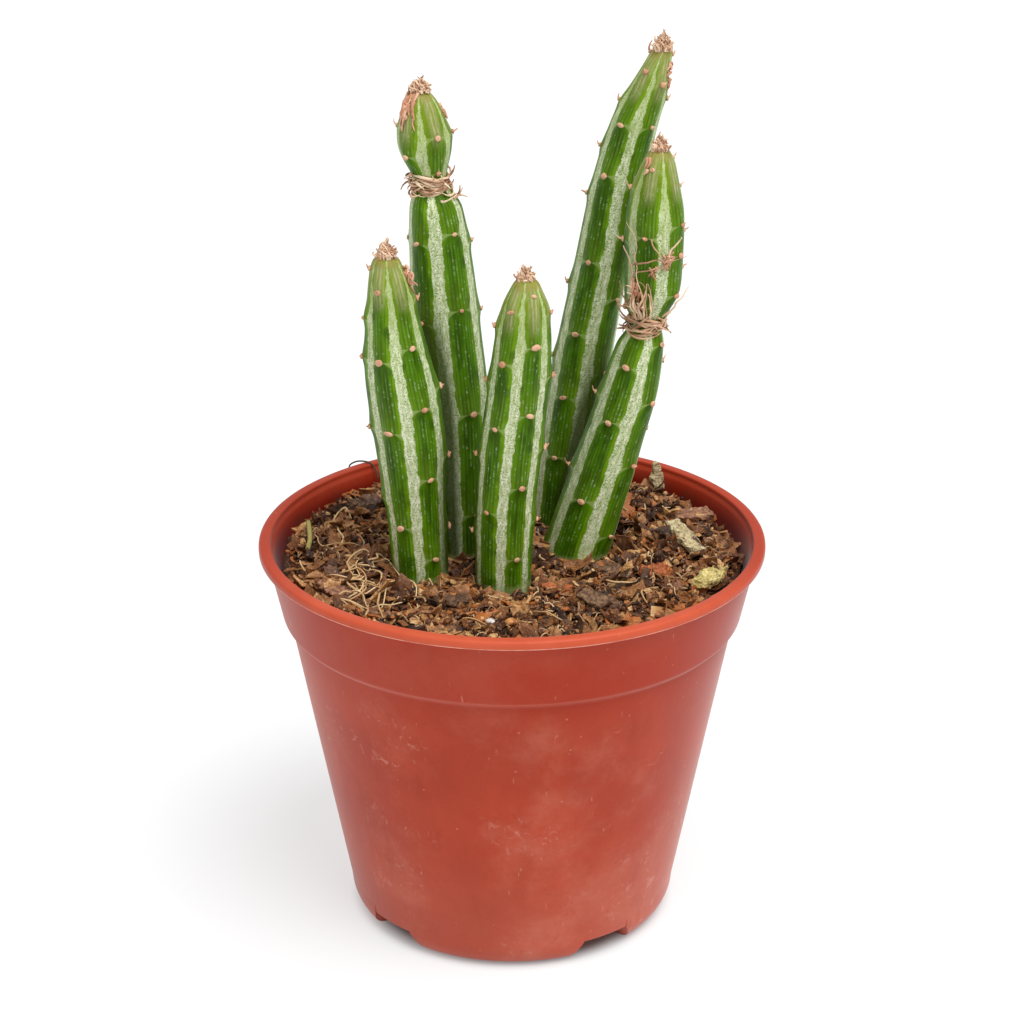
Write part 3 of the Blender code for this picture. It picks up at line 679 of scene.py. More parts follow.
def eased(corners, steps=4):
    """A closed outline with each corner rounded: corners are radius, height and rounding."""
    outline = []
    count = len(corners)
    for number, (radius, height, ease) in enumerate(corners):
        corner = Vector((radius, height))
        before = Vector(corners[number - 1][:2]) - corner
        after = Vector(corners[(number + 1) % count][:2]) - corner
        if ease == 0.0:
            outline.append(corner)
            continue
        reach = min(ease, 0.49 * before.length, 0.49 * after.length)
        start = corner + before.normalized() * reach
        end = corner + after.normalized() * reach
        for step in range(steps + 1):
            t = step / steps
            outline.append(start * (1 - t) ** 2 + corner * (2 * t * (1 - t)) + end * t**2)
    return outline


def spin_round(shape, items, steps, turn=2 * math.pi):
    """Turn a row of edges round the upright axis, and join its ends after a full turn."""
    bmesh.ops.spin(
        shape,
        geom=items,
        cent=(0.0, 0.0, 0.0),
        axis=(0.0, 0.0, 1.0),
        angle=turn,
        steps=steps,
        use_merge=turn > FULL_TURN,
    )


def spun_shape(outline, steps, start=0.0, turn=2 * math.pi):
    """An outline turned round the upright axis: all the way, or part way with closed ends."""
    shape = bmesh.new()
    corners = [shape.verts.new((point.x, 0.0, point.y)) for point in outline]
    pairs = zip(corners, corners[1:] + corners[:1])
    row = [shape.edges.new(pair) for pair in pairs]
    bmesh.ops.rotate(shape, matrix=Matrix.Rotation(start, 3, "Z"), verts=shape.verts)
    spin_round(shape, corners + row, steps, turn)
    if turn < FULL_TURN:
        rims = [edge for edge in shape.edges if edge.is_boundary]
        bmesh.ops.holes_fill(shape, edges=rims, sides=0)
    return shape


class PotSettings(bpy.types.PropertyGroup):
    """Sizes and colours of the pot."""

    lip_height: length_setting("Lip height", "Height of the lip", 1.8 * MM)
    lip_width: length_setting("Lip width", "Width of the lip", 2.5 * MM)
    lip_overhang: length_setting(
        "Lip overhang", "How far the lip stands out over the collar", 1.6 * MM
    )
    collar_height: length_setting(
        "Collar height", "Height of the wider collar, with the lip", 15.8 * MM
    )
    wall: length_setting("Wall", "Thickness of the wall", 1.4 * MM)
    color: color_setting("Plastic", "Colour of the plastic", from_srgb(166, 54, 28))
    dust_color: color_setting(
        "Dust", "Colour of the dust that dulls the plastic", from_srgb(206, 132, 112)
    )


def pot_body_outline(settings):
    """The pot without its foot ring: outside, underside, and inside from the floor up."""
    low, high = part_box("pot")
    rim = high.x
    top = high.z
    under_lip = top - settings.lip_height
    collar_top = rim - settings.lip_overhang
    collar_foot = collar_top - 3.1 * MM
    step_high = top - settings.collar_height
    step_low = step_high - 0.8 * MM
    wall_top = collar_foot - 1.5 * MM
    heel = wall_top - 11.6 * MM
    floor_low = NOTCH_TOP * MM
    floor_high = FLOOR_TOP * MM
    drain = DRAIN_RADIUS * MM
    wall = settings.wall
    lip_inner = rim - settings.lip_width
    ease = 0.6 * MM
    return eased(
        [
            (rim, top, 0.95 * MM),
            (rim, under_lip, 0.35 * MM),
            (rim - 0.55 * MM, under_lip - 0.12 * MM, 0.1 * MM),
            (collar_top, under_lip - 0.1 * MM, 0.5 * MM),
            (collar_foot, step_high, 0.75 * MM),
            (wall_top, step_low - 0.4 * MM, 0.5 * MM),
            (heel, 6.0 * MM, 3.0 * MM),
            (heel - 0.27 * MM, floor_low, 0.15 * MM),
            (drain, floor_low, 0.2 * MM),
            (drain, floor_high, 0.2 * MM),
            (heel - wall - 0.4 * MM, floor_high, 2.0 * MM),
            (wall_top - wall, step_low, ease),
            (collar_foot - wall, step_high + wall, ease),
            (collar_top - wall, under_lip, 0.4 * MM),
            (lip_inner, top - 0.9 * MM, 0.3 * MM),
            (lip_inner, top, 0.5 * MM),
        ]
    )


def pot_foot_outline():
    """The section of a foot: it starts inside the wall, so that no seam shows."""
    low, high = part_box("pot")
    heel = high.x - HEEL_INSET * MM
    foot = heel - 4.3 * MM
    outline = [Vector((heel + 0.32 * MM, FOOT_TOP * MM)), Vector((heel + 0.115 * MM, 6.5 * MM))]
    for step in range(9):
        angle = math.radians(16.0 + 74.0 * step / 8)
        radius = foot + (heel - foot) * math.cos(angle)
        outline.append(Vector((radius, 6.0 * MM * (1 - math.sin(angle)))))
    inner = foot - 2.2 * MM
    outline.append(Vector((inner, 0.0)))
    outline.append(Vector((inner, 5.0 * MM)))
    outline.append(Vector((heel - 0.9 * MM, 5.0 * MM)))
    outline.append(Vector((heel - 0.85 * MM, FOOT_TOP * MM)))
    return outline


# The notches: their headings and half their widths at the floor and at the top, in degrees,
# and their height in millimetres.
NOTCH_CENTRES = (-137.6, -55.1, 39.0, 129.0)
NOTCH_HALF_LOW = 13.7
NOTCH_HALF_HIGH = 9.0
NOTCH_TOP = 4.6


class PLANT_OT_pot(bpy.types.Operator):
    """Make the pot with its lip, collar, wall and notched foot"""

    bl_idname = "plant.pot"
    bl_label = "Pot"

    def execute(self, context):
        settings = context.scene.pot_settings
        shape = spun_shape(pot_body_outline(settings), POT_STEPS)
        body = to_mesh(shape, "nursery_pot")
        joined = bmesh.new()
        joined.from_mesh(body)
        following = (*NOTCH_CENTRES[1:], NOTCH_CENTRES[0] + 360.0)
        for centre, after in zip(NOTCH_CENTRES, following):
            span = after - centre - 2 * NOTCH_HALF_LOW
            start = centre + NOTCH_HALF_LOW
            turns = (math.radians(start), math.radians(span))
            foot = spun_shape(pot_foot_outline(), FOOT_STEPS, *turns)
            # The ends of each foot lean, so that the notches narrow towards the top.
            lean = 2 * (NOTCH_HALF_LOW - NOTCH_HALF_HIGH) / span
            middle = math.radians(start + span / 2)
            for vertex in foot.verts:
                rise = min(1.0, vertex.co.z / (NOTCH_TOP * MM))
                angle = math.atan2(vertex.co.y, vertex.co.x)
                away = (angle - middle + math.pi) % (2 * math.pi) - math.pi
                vertex.co = Matrix.Rotation(away * lean * rise, 3, "Z") @ vertex.co
            part = to_mesh(foot, "foot")
            joined.from_mesh(part)
            bpy.data.meshes.remove(part)
        bpy.data.meshes.remove(body)
        mesh = to_mesh(joined, "nursery_pot")
        material = pot_material(settings.color, settings.dust_color)
        new_piece("nursery_pot", mesh, material, "pot_plastic", ["pot"], sharp=32.0)
        return {"FINISHED"}


# ---------------------------------------------------------------- compost


class CompostSettings(bpy.types.PropertyGroup):
    """How the compost is made up."""

    chips: count_setting("Chips", "Number of bark chips", 5000)
    large_chips: count_setting("Large chips", "How many of the chips are large", 1000)
    crumbs: count_setting("Crumbs", "Number of fine crumbs", 4200)
    fibres: count_setting("Fibres", "Number of loose fibres", 330)
    roughness: length_setting("Lumps", "Height of the lumps between the chips", 0.9 * MM)
    seed: count_setting("Seed", "Seed of the scatter", 7)


# How deep the compost dips on the right side of each stem.
STEM_DIP = 2.2 * MM
CHIP_KINDS = 12
FLAKE_KINDS = 14
CRUMB_KINDS = 5
BED_RINGS = 56
BED_STEPS = 180


class Ground:
    """The height of the compost under a point, with the stems' sockets bridged over."""

    def __init__(self, lumps):
        self.lumps = lumps
        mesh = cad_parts["soil"].data
        shape = bmesh.new()
        shape.from_mesh(mesh)
        self.tree = BVHTree.FromBMesh(shape)
        shape.free()
        low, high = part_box("soil")
        self.radius = high.x
        self.level = high.z - 2.2 * MM
        self.top = high.z + 20 * MM
        self.stems = [stem_axis(name) for name in STEMS]

    def height(self, x, y):
        best = None
        # A ray can slip between two faces, so two more are cast beside it.
        for nudge in (0.0, 0.00005, -0.00007):
            start = Vector((x + nudge, y + nudge * 0.6, self.top))
            hit = self.tree.ray_cast(start, Vector((0.0, 0.0, -1.0)))[0]
            if hit and (best is None or hit.z > best):
                best = hit.z
        if best is None or best < self.level - 7.0 * MM:
            return self.level
        return best

    def surface(self, x, y):
        """The height of the finished bed, with its lumps and the dips round the stems."""
        dip = 0.0
        for axis in self.stems:
            centre_x, centre_y, radius = axis.at(self.level)
            gap = (math.hypot(x - centre_x, y - centre_y) - radius) / MM
            right = share((x - centre_x) / radius + 1.0)
            dip = max(dip, right * share((6.5 - gap) / 5.0))
        return self.height(x, y) + self.lumps * (bed_relief(x, y) - 0.5) - STEM_DIP * dip

    def under_stem(self, x, y, margin=0.0):
        """Whether a point lies inside a stem where it enters the compost."""
        for axis in self.stems:
            centre_x, centre_y, radius = axis.at(self.level)
            if math.hypot(x - centre_x, y - centre_y) < radius - margin:
                return True
        return False


def bed_relief(x, y):
    """Lumps of the compost bed, as a height between about -1 and 1."""
    place = Vector((x, y, 0.0)) / (5.2 * MM)
    rough = solid_noise.noise(place) + 0.6 * solid_noise.noise(place * 2.1 + Vector((7, 3, 1)))
    rough += 0.35 * solid_noise.noise(place * 4.7)
    heaped = share((-x - 12 * MM) / (18 * MM))
    back = share((y - 6 * MM) / (24 * MM))
    sunk = 1.7 * back if x < 0 else 0.6 * back
    return rough * (1.3 + 0.7 * heaped * (1 - back)) + 0.5 * heaped - sunk


def chip_template(draw, sides, thickness):
    """A small ragged plate, one unit across."""
    shape = bmesh.new()
    bmesh.ops.create_circle(shape, cap_ends=True, segments=sides, radius=0.5)
    for vertex in shape.verts:
        vertex.co *= draw.uniform(0.45, 1.3)
    curl = draw.uniform(0.15, 0.75)
    made = bmesh.ops.extrude_face_region(shape, geom=list(shape.faces))
    raised = [item for item in made["geom"] if isinstance(item, bmesh.types.BMVert)]
    for vertex in raised:
        vertex.co.z += thickness * draw.uniform(0.6, 1.4)
        vertex.co.x *= draw.uniform(0.7, 0.98)
        vertex.co.y *= draw.uniform(0.7, 0.98)
    for vertex in shape.verts:
        vertex.co.z += curl * vertex.co.x * vertex.co.x + draw.uniform(-0.06, 0.06)
    bmesh.ops.triangulate(shape, faces=shape.faces)
    return to_mesh(shape, "chip_template")


def flake_template(draw):
    """A crumpled, ragged flake, one unit across."""
    shape = bmesh.new()
    bmesh.ops.create_grid(shape, x_segments=4, y_segments=3, size=0.5)
    curl = draw.uniform(-0.3, 1.2)
    roll = draw.uniform(-0.8, 0.8)
    for vertex in shape.verts:
        vertex.co.x += draw.uniform(-0.1, 0.1)
        vertex.co.y += draw.uniform(-0.13, 0.13)
        out = math.hypot(vertex.co.x, vertex.co.y)
        if out > 0.4:
            vertex.co *= draw.uniform(0.62, 1.3) * min(1.0, 0.52 / out)
    for vertex in shape.verts:
        x, y = vertex.co.x, vertex.co.y
        vertex.co.z = curl * x * x + roll * x * y + draw.uniform(-0.13, 0.13)
    made = bmesh.ops.extrude_face_region(shape, geom=list(shape.faces))
    for item in made["geom"]:
        if isinstance(item, bmesh.types.BMVert):
            item.co.z += draw.uniform(0.05, 0.14)
    bmesh.ops.triangulate(shape, faces=shape.faces)
    return to_mesh(shape, "flake_template")


def crumb_template(draw):
    """A lumpy crumb, one unit across."""
    shape = bmesh.new()
    bmesh.ops.create_icosphere(shape, subdivisions=1, radius=0.5)
    for vertex in shape.verts:
        vertex.co *= draw.uniform(0.7, 1.2)
    return to_mesh(shape, "crumb_template")


def scatter(name, templates, places, worn=0.0):
    """Copies of small shapes in one mesh: places are matrices with a template and a tone.

    Each shape's edges are painted paler than its middle: a painted highlight where the edges catch
    the light.
    """
    shape = bmesh.new()
    bases = []
    for template in templates:
        base = np.empty(len(template.vertices) * 3, np.float32)
        template.vertices.foreach_get("co", base)
        bases.append(base.reshape(-1, 3).copy())
    tones = []
    for matrix, number, tone in places:
        base = bases[number]
        grid = np.array(matrix)
        moved = base @ grid[:3, :3].T + grid[:3, 3]
        templates[number].vertices.foreach_set("co", moved.astype(np.float32).ravel())
        shape.from_mesh(templates[number])
        out = np.hypot(base[:, 0], base[:, 1])
        # Painted highlight: the tone rises towards each shape's edge.
        tones.append(tone + worn * np.clip((out - 0.28) / 0.25, 0.0, 1.0))
    for template in templates:
        bpy.data.meshes.remove(template)
    mesh = to_mesh(shape, name, normals=False)
    set_tones(mesh, np.clip(np.concatenate(tones), 0.0, 1.2))
    return mesh


def spot(draw, ground, reach):
    """A point of the compost's surface that no stem covers."""
    while True:
        out = reach * math.sqrt(draw.random())
        angle = draw.uniform(0.0, 2 * math.pi)
        x, y = out * math.cos(angle), out * math.sin(angle)
        if not ground.under_stem(x, y, 0.6 * MM):
            return x, y


def chip_tone(draw, x, y):
    """Bark is mostly mid brown; some is near black, orange or tan, in drifts."""
    drift = solid_noise.noise(Vector((x, y, 3.0)) / (11 * MM))
    pick = draw.random()
    if pick < 0.09:
        return draw.uniform(0.96, 1.2)
    if pick < 0.2:
        return draw.uniform(0.68, 0.84)
    if pick < 0.44:
        return draw.uniform(0.04, 0.22)
    return min(0.66, max(0.1, draw.gauss(0.43, 0.12) + 0.14 * drift))


class PLANT_OT_compost(bpy.types.Operator):
    """Make the compost: its bed, its bark chips and crumbs, and loose fibres"""

    bl_idname = "plant.compost"
    bl_label = "Compost"

    def execute(self, context):
        settings = context.scene.compost_settings
        ground = Ground(settings.roughness)
        draw = random.Random(settings.seed)
        material = compost_material()
        self.make_bed(settings, ground, material)
        self.make_chips(settings, ground, draw, material)
        self.make_crumbs(settings, ground, draw, material)
        self.make_fibres(settings, ground, draw)
        return {"FINISHED"}

    def make_bed(self, settings, ground, material):
        """A closed disc of compost with a lumpy top."""
        edge = ground.radius + 0.1 * MM
        shape = bmesh.new()
        rings = [edge * ring / BED_RINGS for ring in range(BED_RINGS + 1)]
        corners = [shape.verts.new((radius, 0.0, 0.0)) for radius in rings]
        row = [shape.edges.new(pair) for pair in zip(corners, corners[1:])]
        spin_round(shape, corners + row, BED_STEPS)
        bmesh.ops.remove_doubles(shape, verts=shape.verts, dist=WELD)
        for vertex in shape.verts:
            x, y = vertex.co.x, vertex.co.y
            inward = 0.985 if math.hypot(x, y) > 0.985 * edge else 1.0
            vertex.co.z = ground.surface(x * inward, y * inward)
        rims = [item for item in shape.edges if item.is_boundary]
        made = bmesh.ops.extrude_edge_only(shape, edges=rims)["geom"]
        lowered = [item for item in made if isinstance(item, bmesh.types.BMVert)]
        for vertex in lowered:
            vertex.co.z = ground.level - 9.0 * MM
            vertex.co.x *= 0.985
            vertex.co.y *= 0.985
        rims = [item for item in shape.edges if item.is_boundary]
        bmesh.ops.holes_fill(shape, edges=rims, sides=0)
        mesh = to_mesh(shape, "compost_bed")
        set_tones(mesh, 0.2)
        new_piece("compost_bed", mesh, material, "compost", ["soil"])

    def make_chips(self, settings, ground, draw, material):
        templates = [chip_template(draw, 6 + number % 4, 0.11) for number in range(CHIP_KINDS)]
        templates += [flake_template(draw) for _ in range(FLAKE_KINDS)]
        places = []
        reach = ground.radius - 1.2 * MM
        for number in range(settings.chips):
            x, y = spot(draw, ground, reach)
            large = number < settings.large_chips
            middle = 1.22 if large else 0.6
            size = min(5.2, max(0.9, draw.lognormvariate(middle, 0.35))) * MM
            length = draw.uniform(1.0, 1.8)
            tilt = min(84.0, abs(draw.gauss(0.0, 42.0 if large else 34.0)))
            lift = draw.uniform(-0.5, 1.6) * MM - 0.05 * size
            turn = Matrix.Rotation(draw.uniform(0, 2 * math.pi), 4, "Z")
            lean = Matrix.Rotation(math.radians(tilt), 4, "X")
            spin = Matrix.Rotation(draw.uniform(0, 2 * math.pi), 4, "Z")
            thick = size if large else min(size, 2.6 * MM) * draw.uniform(0.8, 1.6)
            grow = Matrix.Diagonal((size * length, size, thick, 1.0))
            height = ground.surface(x, y) + 0.1 * MM
            place = Matrix.Translation((x, y, height + lift))
            kind = CHIP_KINDS + number % FLAKE_KINDS if large else number % CHIP_KINDS
            tone = chip_tone(draw, x, y)
            if large and 0.66 < tone < 0.9:
                tone -= 0.22
            places.append((place @ turn @ lean @ spin @ grow, kind, tone))
        # 0.16 is how much paler the chips' edges are painted, as a painted highlight.
        mesh = scatter("bark_chips", templates, places, 0.16)
        new_piece("bark_chips", mesh, material, "compost", sharp=24.0)

    def make_crumbs(self, settings, ground, draw, material):
        templates = [crumb_template(draw) for _ in range(CRUMB_KINDS)]
        places = []
        reach = ground.radius - 0.8 * MM
        for number in range(settings.crumbs):
            x, y = spot(draw, ground, reach)
            size = draw.uniform(0.45, 1.5) * MM
            angle = draw.uniform(0, 6.28)
            turn = Matrix.Rotation(angle, 4, Vector((1, draw.random(), draw.random())))
            grow = Matrix.Diagonal((size * draw.uniform(0.8, 1.6), size, size * 0.8, 1.0))
            height = ground.surface(x, y)
            height += draw.uniform(0.1, 1.8) * MM
            place = Matrix.Translation((x, y, height))
            places.append((place @ turn @ grow, number % CRUMB_KINDS, chip_tone(draw, x, y)))
        mesh = scatter("bark_crumbs", templates, places)
        new_piece("bark_crumbs", mesh, material, "compost", sharp=40.0)

    def make_fibres(self, settings, ground, draw):
        """Short loose fibres and slivers over the whole surface."""
        strands = []
        reach = ground.radius - 3.0 * MM
        for _ in range(settings.fibres):
            x, y = spot(draw, ground, reach)
            heading = draw.uniform(0, 2 * math.pi)
            length = draw.uniform(1.6, 6.0) * MM
            bend = draw.gauss(0.0, 0.45)
            knots = []
            for step in range(5):
                height = ground.surface(x, y)
                height += draw.uniform(1.0, 2.4) * MM
                knots.append(Vector((x, y, height)))
                x += math.cos(heading) * length / 4
                y += math.sin(heading) * length / 4
                heading += bend
                far = math.hypot(x, y)
                if far > reach:
                    x, y = x * reach / far, y * reach / far
            route = smooth_route(knots, 2)
            thick = draw.uniform(0.07, 0.17) * MM
            count = len(route)
            bulges = [math.sin(math.pi * (step + 1) / (count + 1)) for step in range(count)]
            radii = [thick * (0.5 + bulge) for bulge in bulges]
            strands.append((route, radii, draw.random()))
        mesh = strands_mesh("loose_fibres", strands, 0)
        material = dried_material("loose fibre", (110, 76, 48), (168, 128, 88), (214, 182, 138))
        new_piece("loose_fibres", mesh, material, "rootlet")


# ---------------------------------------------------------------- stems


class StemAxis:
    """A stem's centre line, radius and furrow heading, read from its solid ring by ring."""

    def __init__(self, name):
        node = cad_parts["stem_" + name]
        points = {tuple(round(value, 6) for value in vertex.co) for vertex in node.data.vertices}
        points = sorted(points, key=lambda point: point[2])
        rings = []
        for point in points:
            if rings and abs(point[2] - rings[-1][-1][2]) < 0.00004:
                rings[-1].append(point)
            else:
                rings.append([point])
        rings = [np.array(ring) for ring in rings if len(ring) > 9]
        self.heights = np.array([ring[:, 2].mean() for ring in rings])
        self.centres = np.array([ring[:, :2].mean(0) for ring in rings])
        spans = [np.hypot(*(ring[:, :2] - centre).T) for ring, centre in zip(rings, self.centres)]
        self.radii = np.array([span.max() for span in spans])
        self.ribs = len(rings[len(rings) // 2]) // 3
        middle = len(rings) // 2
        inner = rings[middle][np.argsort(spans[middle])[: self.ribs], :2] - self.centres[middle]
        angles = np.arctan2(inner[:, 1], inner[:, 0])
        self.furrow = float(angles[np.argmin(np.abs(angles + math.pi / 2))])
        self.top = float(self.heights[-1])
        self.foot = float(self.heights[0])

    def curve(self, values, height):
        """A smooth curve through the rings' values, at one height or many."""
        knots = self.heights
        height = np.clip(height, knots[0], knots[-1])
        slopes = np.gradient(values, knots)
        place = np.clip(np.searchsorted(knots, height) - 1, 0, len(knots) - 2)
        span = knots[place + 1] - knots[place]
        t = (height - knots[place]) / span
        return (
            (2 * t**3 - 3 * t**2 + 1) * values[place]
            + (t**3 - 2 * t**2 + t) * span * slopes[place]
            + (3 * t**2 - 2 * t**3) * values[place + 1]
            + (t**3 - t**2) * span * slopes[place + 1]
        )

    def at(self, height):
        x = self.curve(self.centres[:, 0], height)
        y = self.curve(self.centres[:, 1], height)
        return x, y, self.curve(self.radii, height)


@lru_cache
def stem_axis(name):
    return StemAxis(name)


@lru_cache
def rib_scars(name):
    """The leaf scars of every rib, as distances below the tip in millimetres.

    The ribs out of sight have evenly widening gaps.
    """
    axis = stem_axis(name)
    draw = random.Random("scars " + name)
    length = (axis.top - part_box("soil")[1].z) / MM + 2.0
    scars = []
    for rib in range(axis.ribs):
        given = LEAF_SCARS[name].get(rib)
        if given:
            scars.append([value for value in given if value < length])
            continue
        below = draw.uniform(2.0, 11.0)
        drawn = []
        gap = draw.uniform(9.0, 11.0)
        while below < length:
            drawn.append(below)
            below += gap
            gap = min(17.0, gap * 1.22) * draw.uniform(0.9, 1.1)
        scars.append(drawn)
    return scars


def swelling(turn, depth, width, scars, ribs):
    """How far the skin stands out round each scar, in millimetres."""
    rise = np.zeros_like(turn)
    for rib in range(ribs):
        away = (turn - rib - 0.5 + ribs / 2) % ribs - ribs / 2
        side = np.exp(-((away * width / 1.25) ** 2))
        for scar in scars[rib]:
            past = depth - scar
            spread = np.where(past > 0, 1.5, 2.6)
            size = 0.42 * min(1.0, 0.5 + scar / 24.0)
            rise += size * side * np.exp(-((past / spread) ** 2))
    return rise


def skin_point(name, turn, depth):
    """Points of a stem's skin: turn counts ribs from the front furrow, depth is from the tip."""
    axis = stem_axis(name)
    scars = rib_scars(name)
    turn = np.asarray(turn, float)
    depth = np.asarray(depth, float)
    height = axis.top - depth * MM
    x, y, radius = axis.at(height)
    width = 2 * math.pi * radius / MM / axis.ribs
    valley = (0.5 + 0.5 * np.cos(2 * math.pi * turn)) ** 0.85
    furrow = 0.062 * np.clip(depth / 10.0, 0.35, 1.0)
    reach = radius * (1 - furrow * valley)
    reach = reach + MM * swelling(turn, depth, width, scars, axis.ribs)
    dome = np.sqrt(1 - np.clip(1 - depth / 1.4, 0.0, 1.0) ** 2)
    reach = reach * dome
    span = (axis.top - axis.foot) / MM
    twist = math.radians(TWISTS.get(name, 0.0)) * np.clip(1 - depth / span / 0.8, 0.0, 1.0)
    angle = axis.furrow + twist + 2 * math.pi * turn / axis.ribs
    return x + reach * np.cos(angle), y + reach * np.sin(angle), height, angle, width


class StemSettings(bpy.types.PropertyGroup):
    """Colours and pattern sizes of the stems."""

    silver_low: color_setting(
        "Silver, dull", "Duller colour of the silver bands", from_srgb(184, 198, 146)
    )
    silver_high: color_setting(
        "Silver, bright", "Brighter colour of the silver bands", from_srgb(230, 235, 204)
    )
    green_low: color_setting("Green, dark", "Darkest colour of the panels", from_srgb(54, 88, 0))
    green_mid: color_setting("Green", "Main colour of the panels", from_srgb(76, 120, 2))
    green_high: color_setting(
        "Green, bright", "Colour of the panels' margins", from_srgb(112, 156, 6)
    )
    dash_spacing: number_setting(
        "Dash rows", "Distance between the rows of pale dashes, in millimetres", 0.74, 0.1
    )
    freckle_scale: number_setting(
        "Freckles", "Fineness of the green freckles on the silver, per millimetre", 3.3, 0.1
    )
    window_strength: number_setting(
        "Windows", "How strongly the dull windows near a tip show", 0.75, 0.0, 1.0
    )


def neighbour_shade(name, x, y, z, angle):
    """How much of the light a neighbouring stem takes from the skin that faces it."""
    shade = np.zeros(len(x))
    for other in STEMS:
        if other == name:
            continue
        axis = stem_axis(other)
        centre_x, centre_y, radius = axis.at(z)
        away = np.hypot(centre_x - x, centre_y - y)
        gap = (away - radius) / MM
        facing = ((centre_x - x) * np.cos(angle) + (centre_y - y) * np.sin(angle)) / away
        near = np.clip((8.5 - gap) / 5.0, 0.0, 1.0) * np.clip((facing - 0.5) / 0.4, 0.0, 1.0)
        below = np.clip((axis.top - z) / (12 * MM), 0.0, 1.0)
        shade = np.maximum(shade, near * below)
    return shade


RIB_SEGMENTS = 20
SKIN_ROWS = 250


def skin_mesh(name):
    """A stem's closed skin, with its rib, cell and girth coordinates as UV maps."""
    axis = stem_axis(name)
    scars = rib_scars(name)
    around = axis.ribs * RIB_SEGMENTS
    shape = bmesh.new()
    bmesh.ops.create_grid(shape, x_segments=around, y_segments=SKIN_ROWS, size=0.5)
    mesh = to_mesh(shape, "skin")
    count = len(mesh.vertices)
    grid = np.empty(count * 3, np.float32)
    mesh.vertices.foreach_get("co", grid)
    grid = grid.reshape(-1, 3).astype(float)
    turn = (grid[:, 0] + 0.5) * axis.ribs
    along = 0.5 - grid[:, 1]
    length = (axis.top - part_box("soil")[1].z) / MM + 8.0
    depth = length * along**1.15
    x, y, z, angle, width = skin_point(name, turn, depth)
    buried = np.clip((depth - length + 0.5) / 0.5, 0.0, 1.0)
    centre_x, centre_y, radius = axis.at(z)
    x = x + (centre_x - x) * buried
    y = y + (centre_y - y) * buried
    mesh.vertices.foreach_set("co", np.stack([x, y, z], 1).astype(np.float32).ravel())
    set_tones(mesh, neighbour_shade(name, x, y, z, angle), "shade")
    corners = np.empty(len(mesh.loops), np.int32)
    mesh.loops.foreach_get("vertex_index", corners)
    faces = corners.reshape(-1, 4)
    middle_turn = turn[faces].mean(1)
    middle_depth = depth[faces].mean(1)
    ribs = np.clip(np.floor(middle_turn).astype(int), 0, axis.ribs - 1)
    upper = np.zeros(len(faces))
    lower = np.zeros(len(faces))
    for rib in range(axis.ribs):
        stops = np.array([-4.0, *scars[rib], length + 12.0])
        mine = ribs == rib
        place = np.searchsorted(stops, middle_depth[mine]) - 1
        upper[mine] = stops[place]
        lower[mine] = stops[place + 1]
    loop_depth = depth[corners]
    below = loop_depth - np.repeat(upper, 4)
    above = np.repeat(lower, 4) - loop_depth
    maps = {
        "skin": (turn[corners], loop_depth),
        "cell": (below, above),
        "girth": (width[corners], z[corners] / MM),
    }
    for title, pair in maps.items():
        layer = mesh.uv_layers.new(name=title)
        layer.data.foreach_set("uv", np.stack(pair, 1).astype(np.float32).ravel())
    shape = bmesh.new()
    shape.from_mesh(mesh)
    bpy.data.meshes.remove(mesh)
    bmesh.ops.remove_doubles(shape, verts=shape.verts, dist=WELD)
    return to_mesh(shape, "skin_" + name)


class PLANT_OT_stems(bpy.types.Operator):
    """Make the five ribbed stems with their striped skin"""

    bl_idname = "plant.stems"
    bl_label = "Stems"

    def execute(self, context):
        settings = context.scene.stem_settings
        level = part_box("soil")[1].z / MM - 2.0
        material = stem_material("striped skin", settings, level)
        for name in STEMS:
            mesh = skin_mesh(name)
            new_piece("skin_" + name, mesh, material, "stem_skin", ["stem_" + name])
        return {"FINISHED"}


def surface_place(name, turn, depth):
    """A point of the skin, with the directions out of it and up along it."""
    x, y, z, angle, width = skin_point(name, turn, depth)
    here = Vector((float(x), float(y), float(z)))
    x, y, z, _, _ = skin_point(name, turn, depth - 1.0)
    up = (Vector((float(x), float(y), float(z))) - here).normalized()
    out = Vector((math.cos(float(angle)), math.sin(float(angle)), 0.0))
    out = (out - up * out.dot(up)).normalized()
    return here, out, up


def scar_template(draw):
    """A small oval pad with a hollow in its middle, one unit across, facing up."""
    shape = bmesh.new()
    bmesh.ops.create_uvsphere(shape, u_segments=10, v_segments=6, radius=0.5)
    for vertex in shape.verts:
        out = math.hypot(vertex.co.x, vertex.co.y)
        vertex.co.z *= 0.75
        if out < 0.2 and vertex.co.z > 0:
            vertex.co.z -= 0.16
        vertex.co.x *= draw.uniform(0.85, 1.15)
        vertex.co.y *= draw.uniform(0.85, 1.15)
    return to_mesh(shape, "scar_template")


SCAR_KINDS = 4
FRONT_STEMS = ("front_left", "front_middle")
# Dried leaves that cling to a stem: turn, depth, width, length, stand and count.
PATCHES = {
    "front_left": [(1.34, 4.4, 1.8, 4.4, 1.0, 14)],
    "back_left": [(4.5, 3.6, 3.0, 6.0, 0.6, 22), (1.45, 4.5, 1.2, 3.0, 0.5, 6)],
    "tall_right": [(0.95, 4.2, 1.4, 2.6, 0.5, 6), (1.15, 7.4, 1.0, 2.4, 0.4, 5)],
    "front_right": [
        (0.1, 21.5, 1.4, 3.6, 0.7, 9),
        (4.15, 3.2, 0.7, 3.4, 0.4, 6),
        (4.75, 24.5, 1.2, 2.6, 0.8, 7),
        (4.35, 28.5, 2.0, 5.0, 1.3, 14),
    ],
}


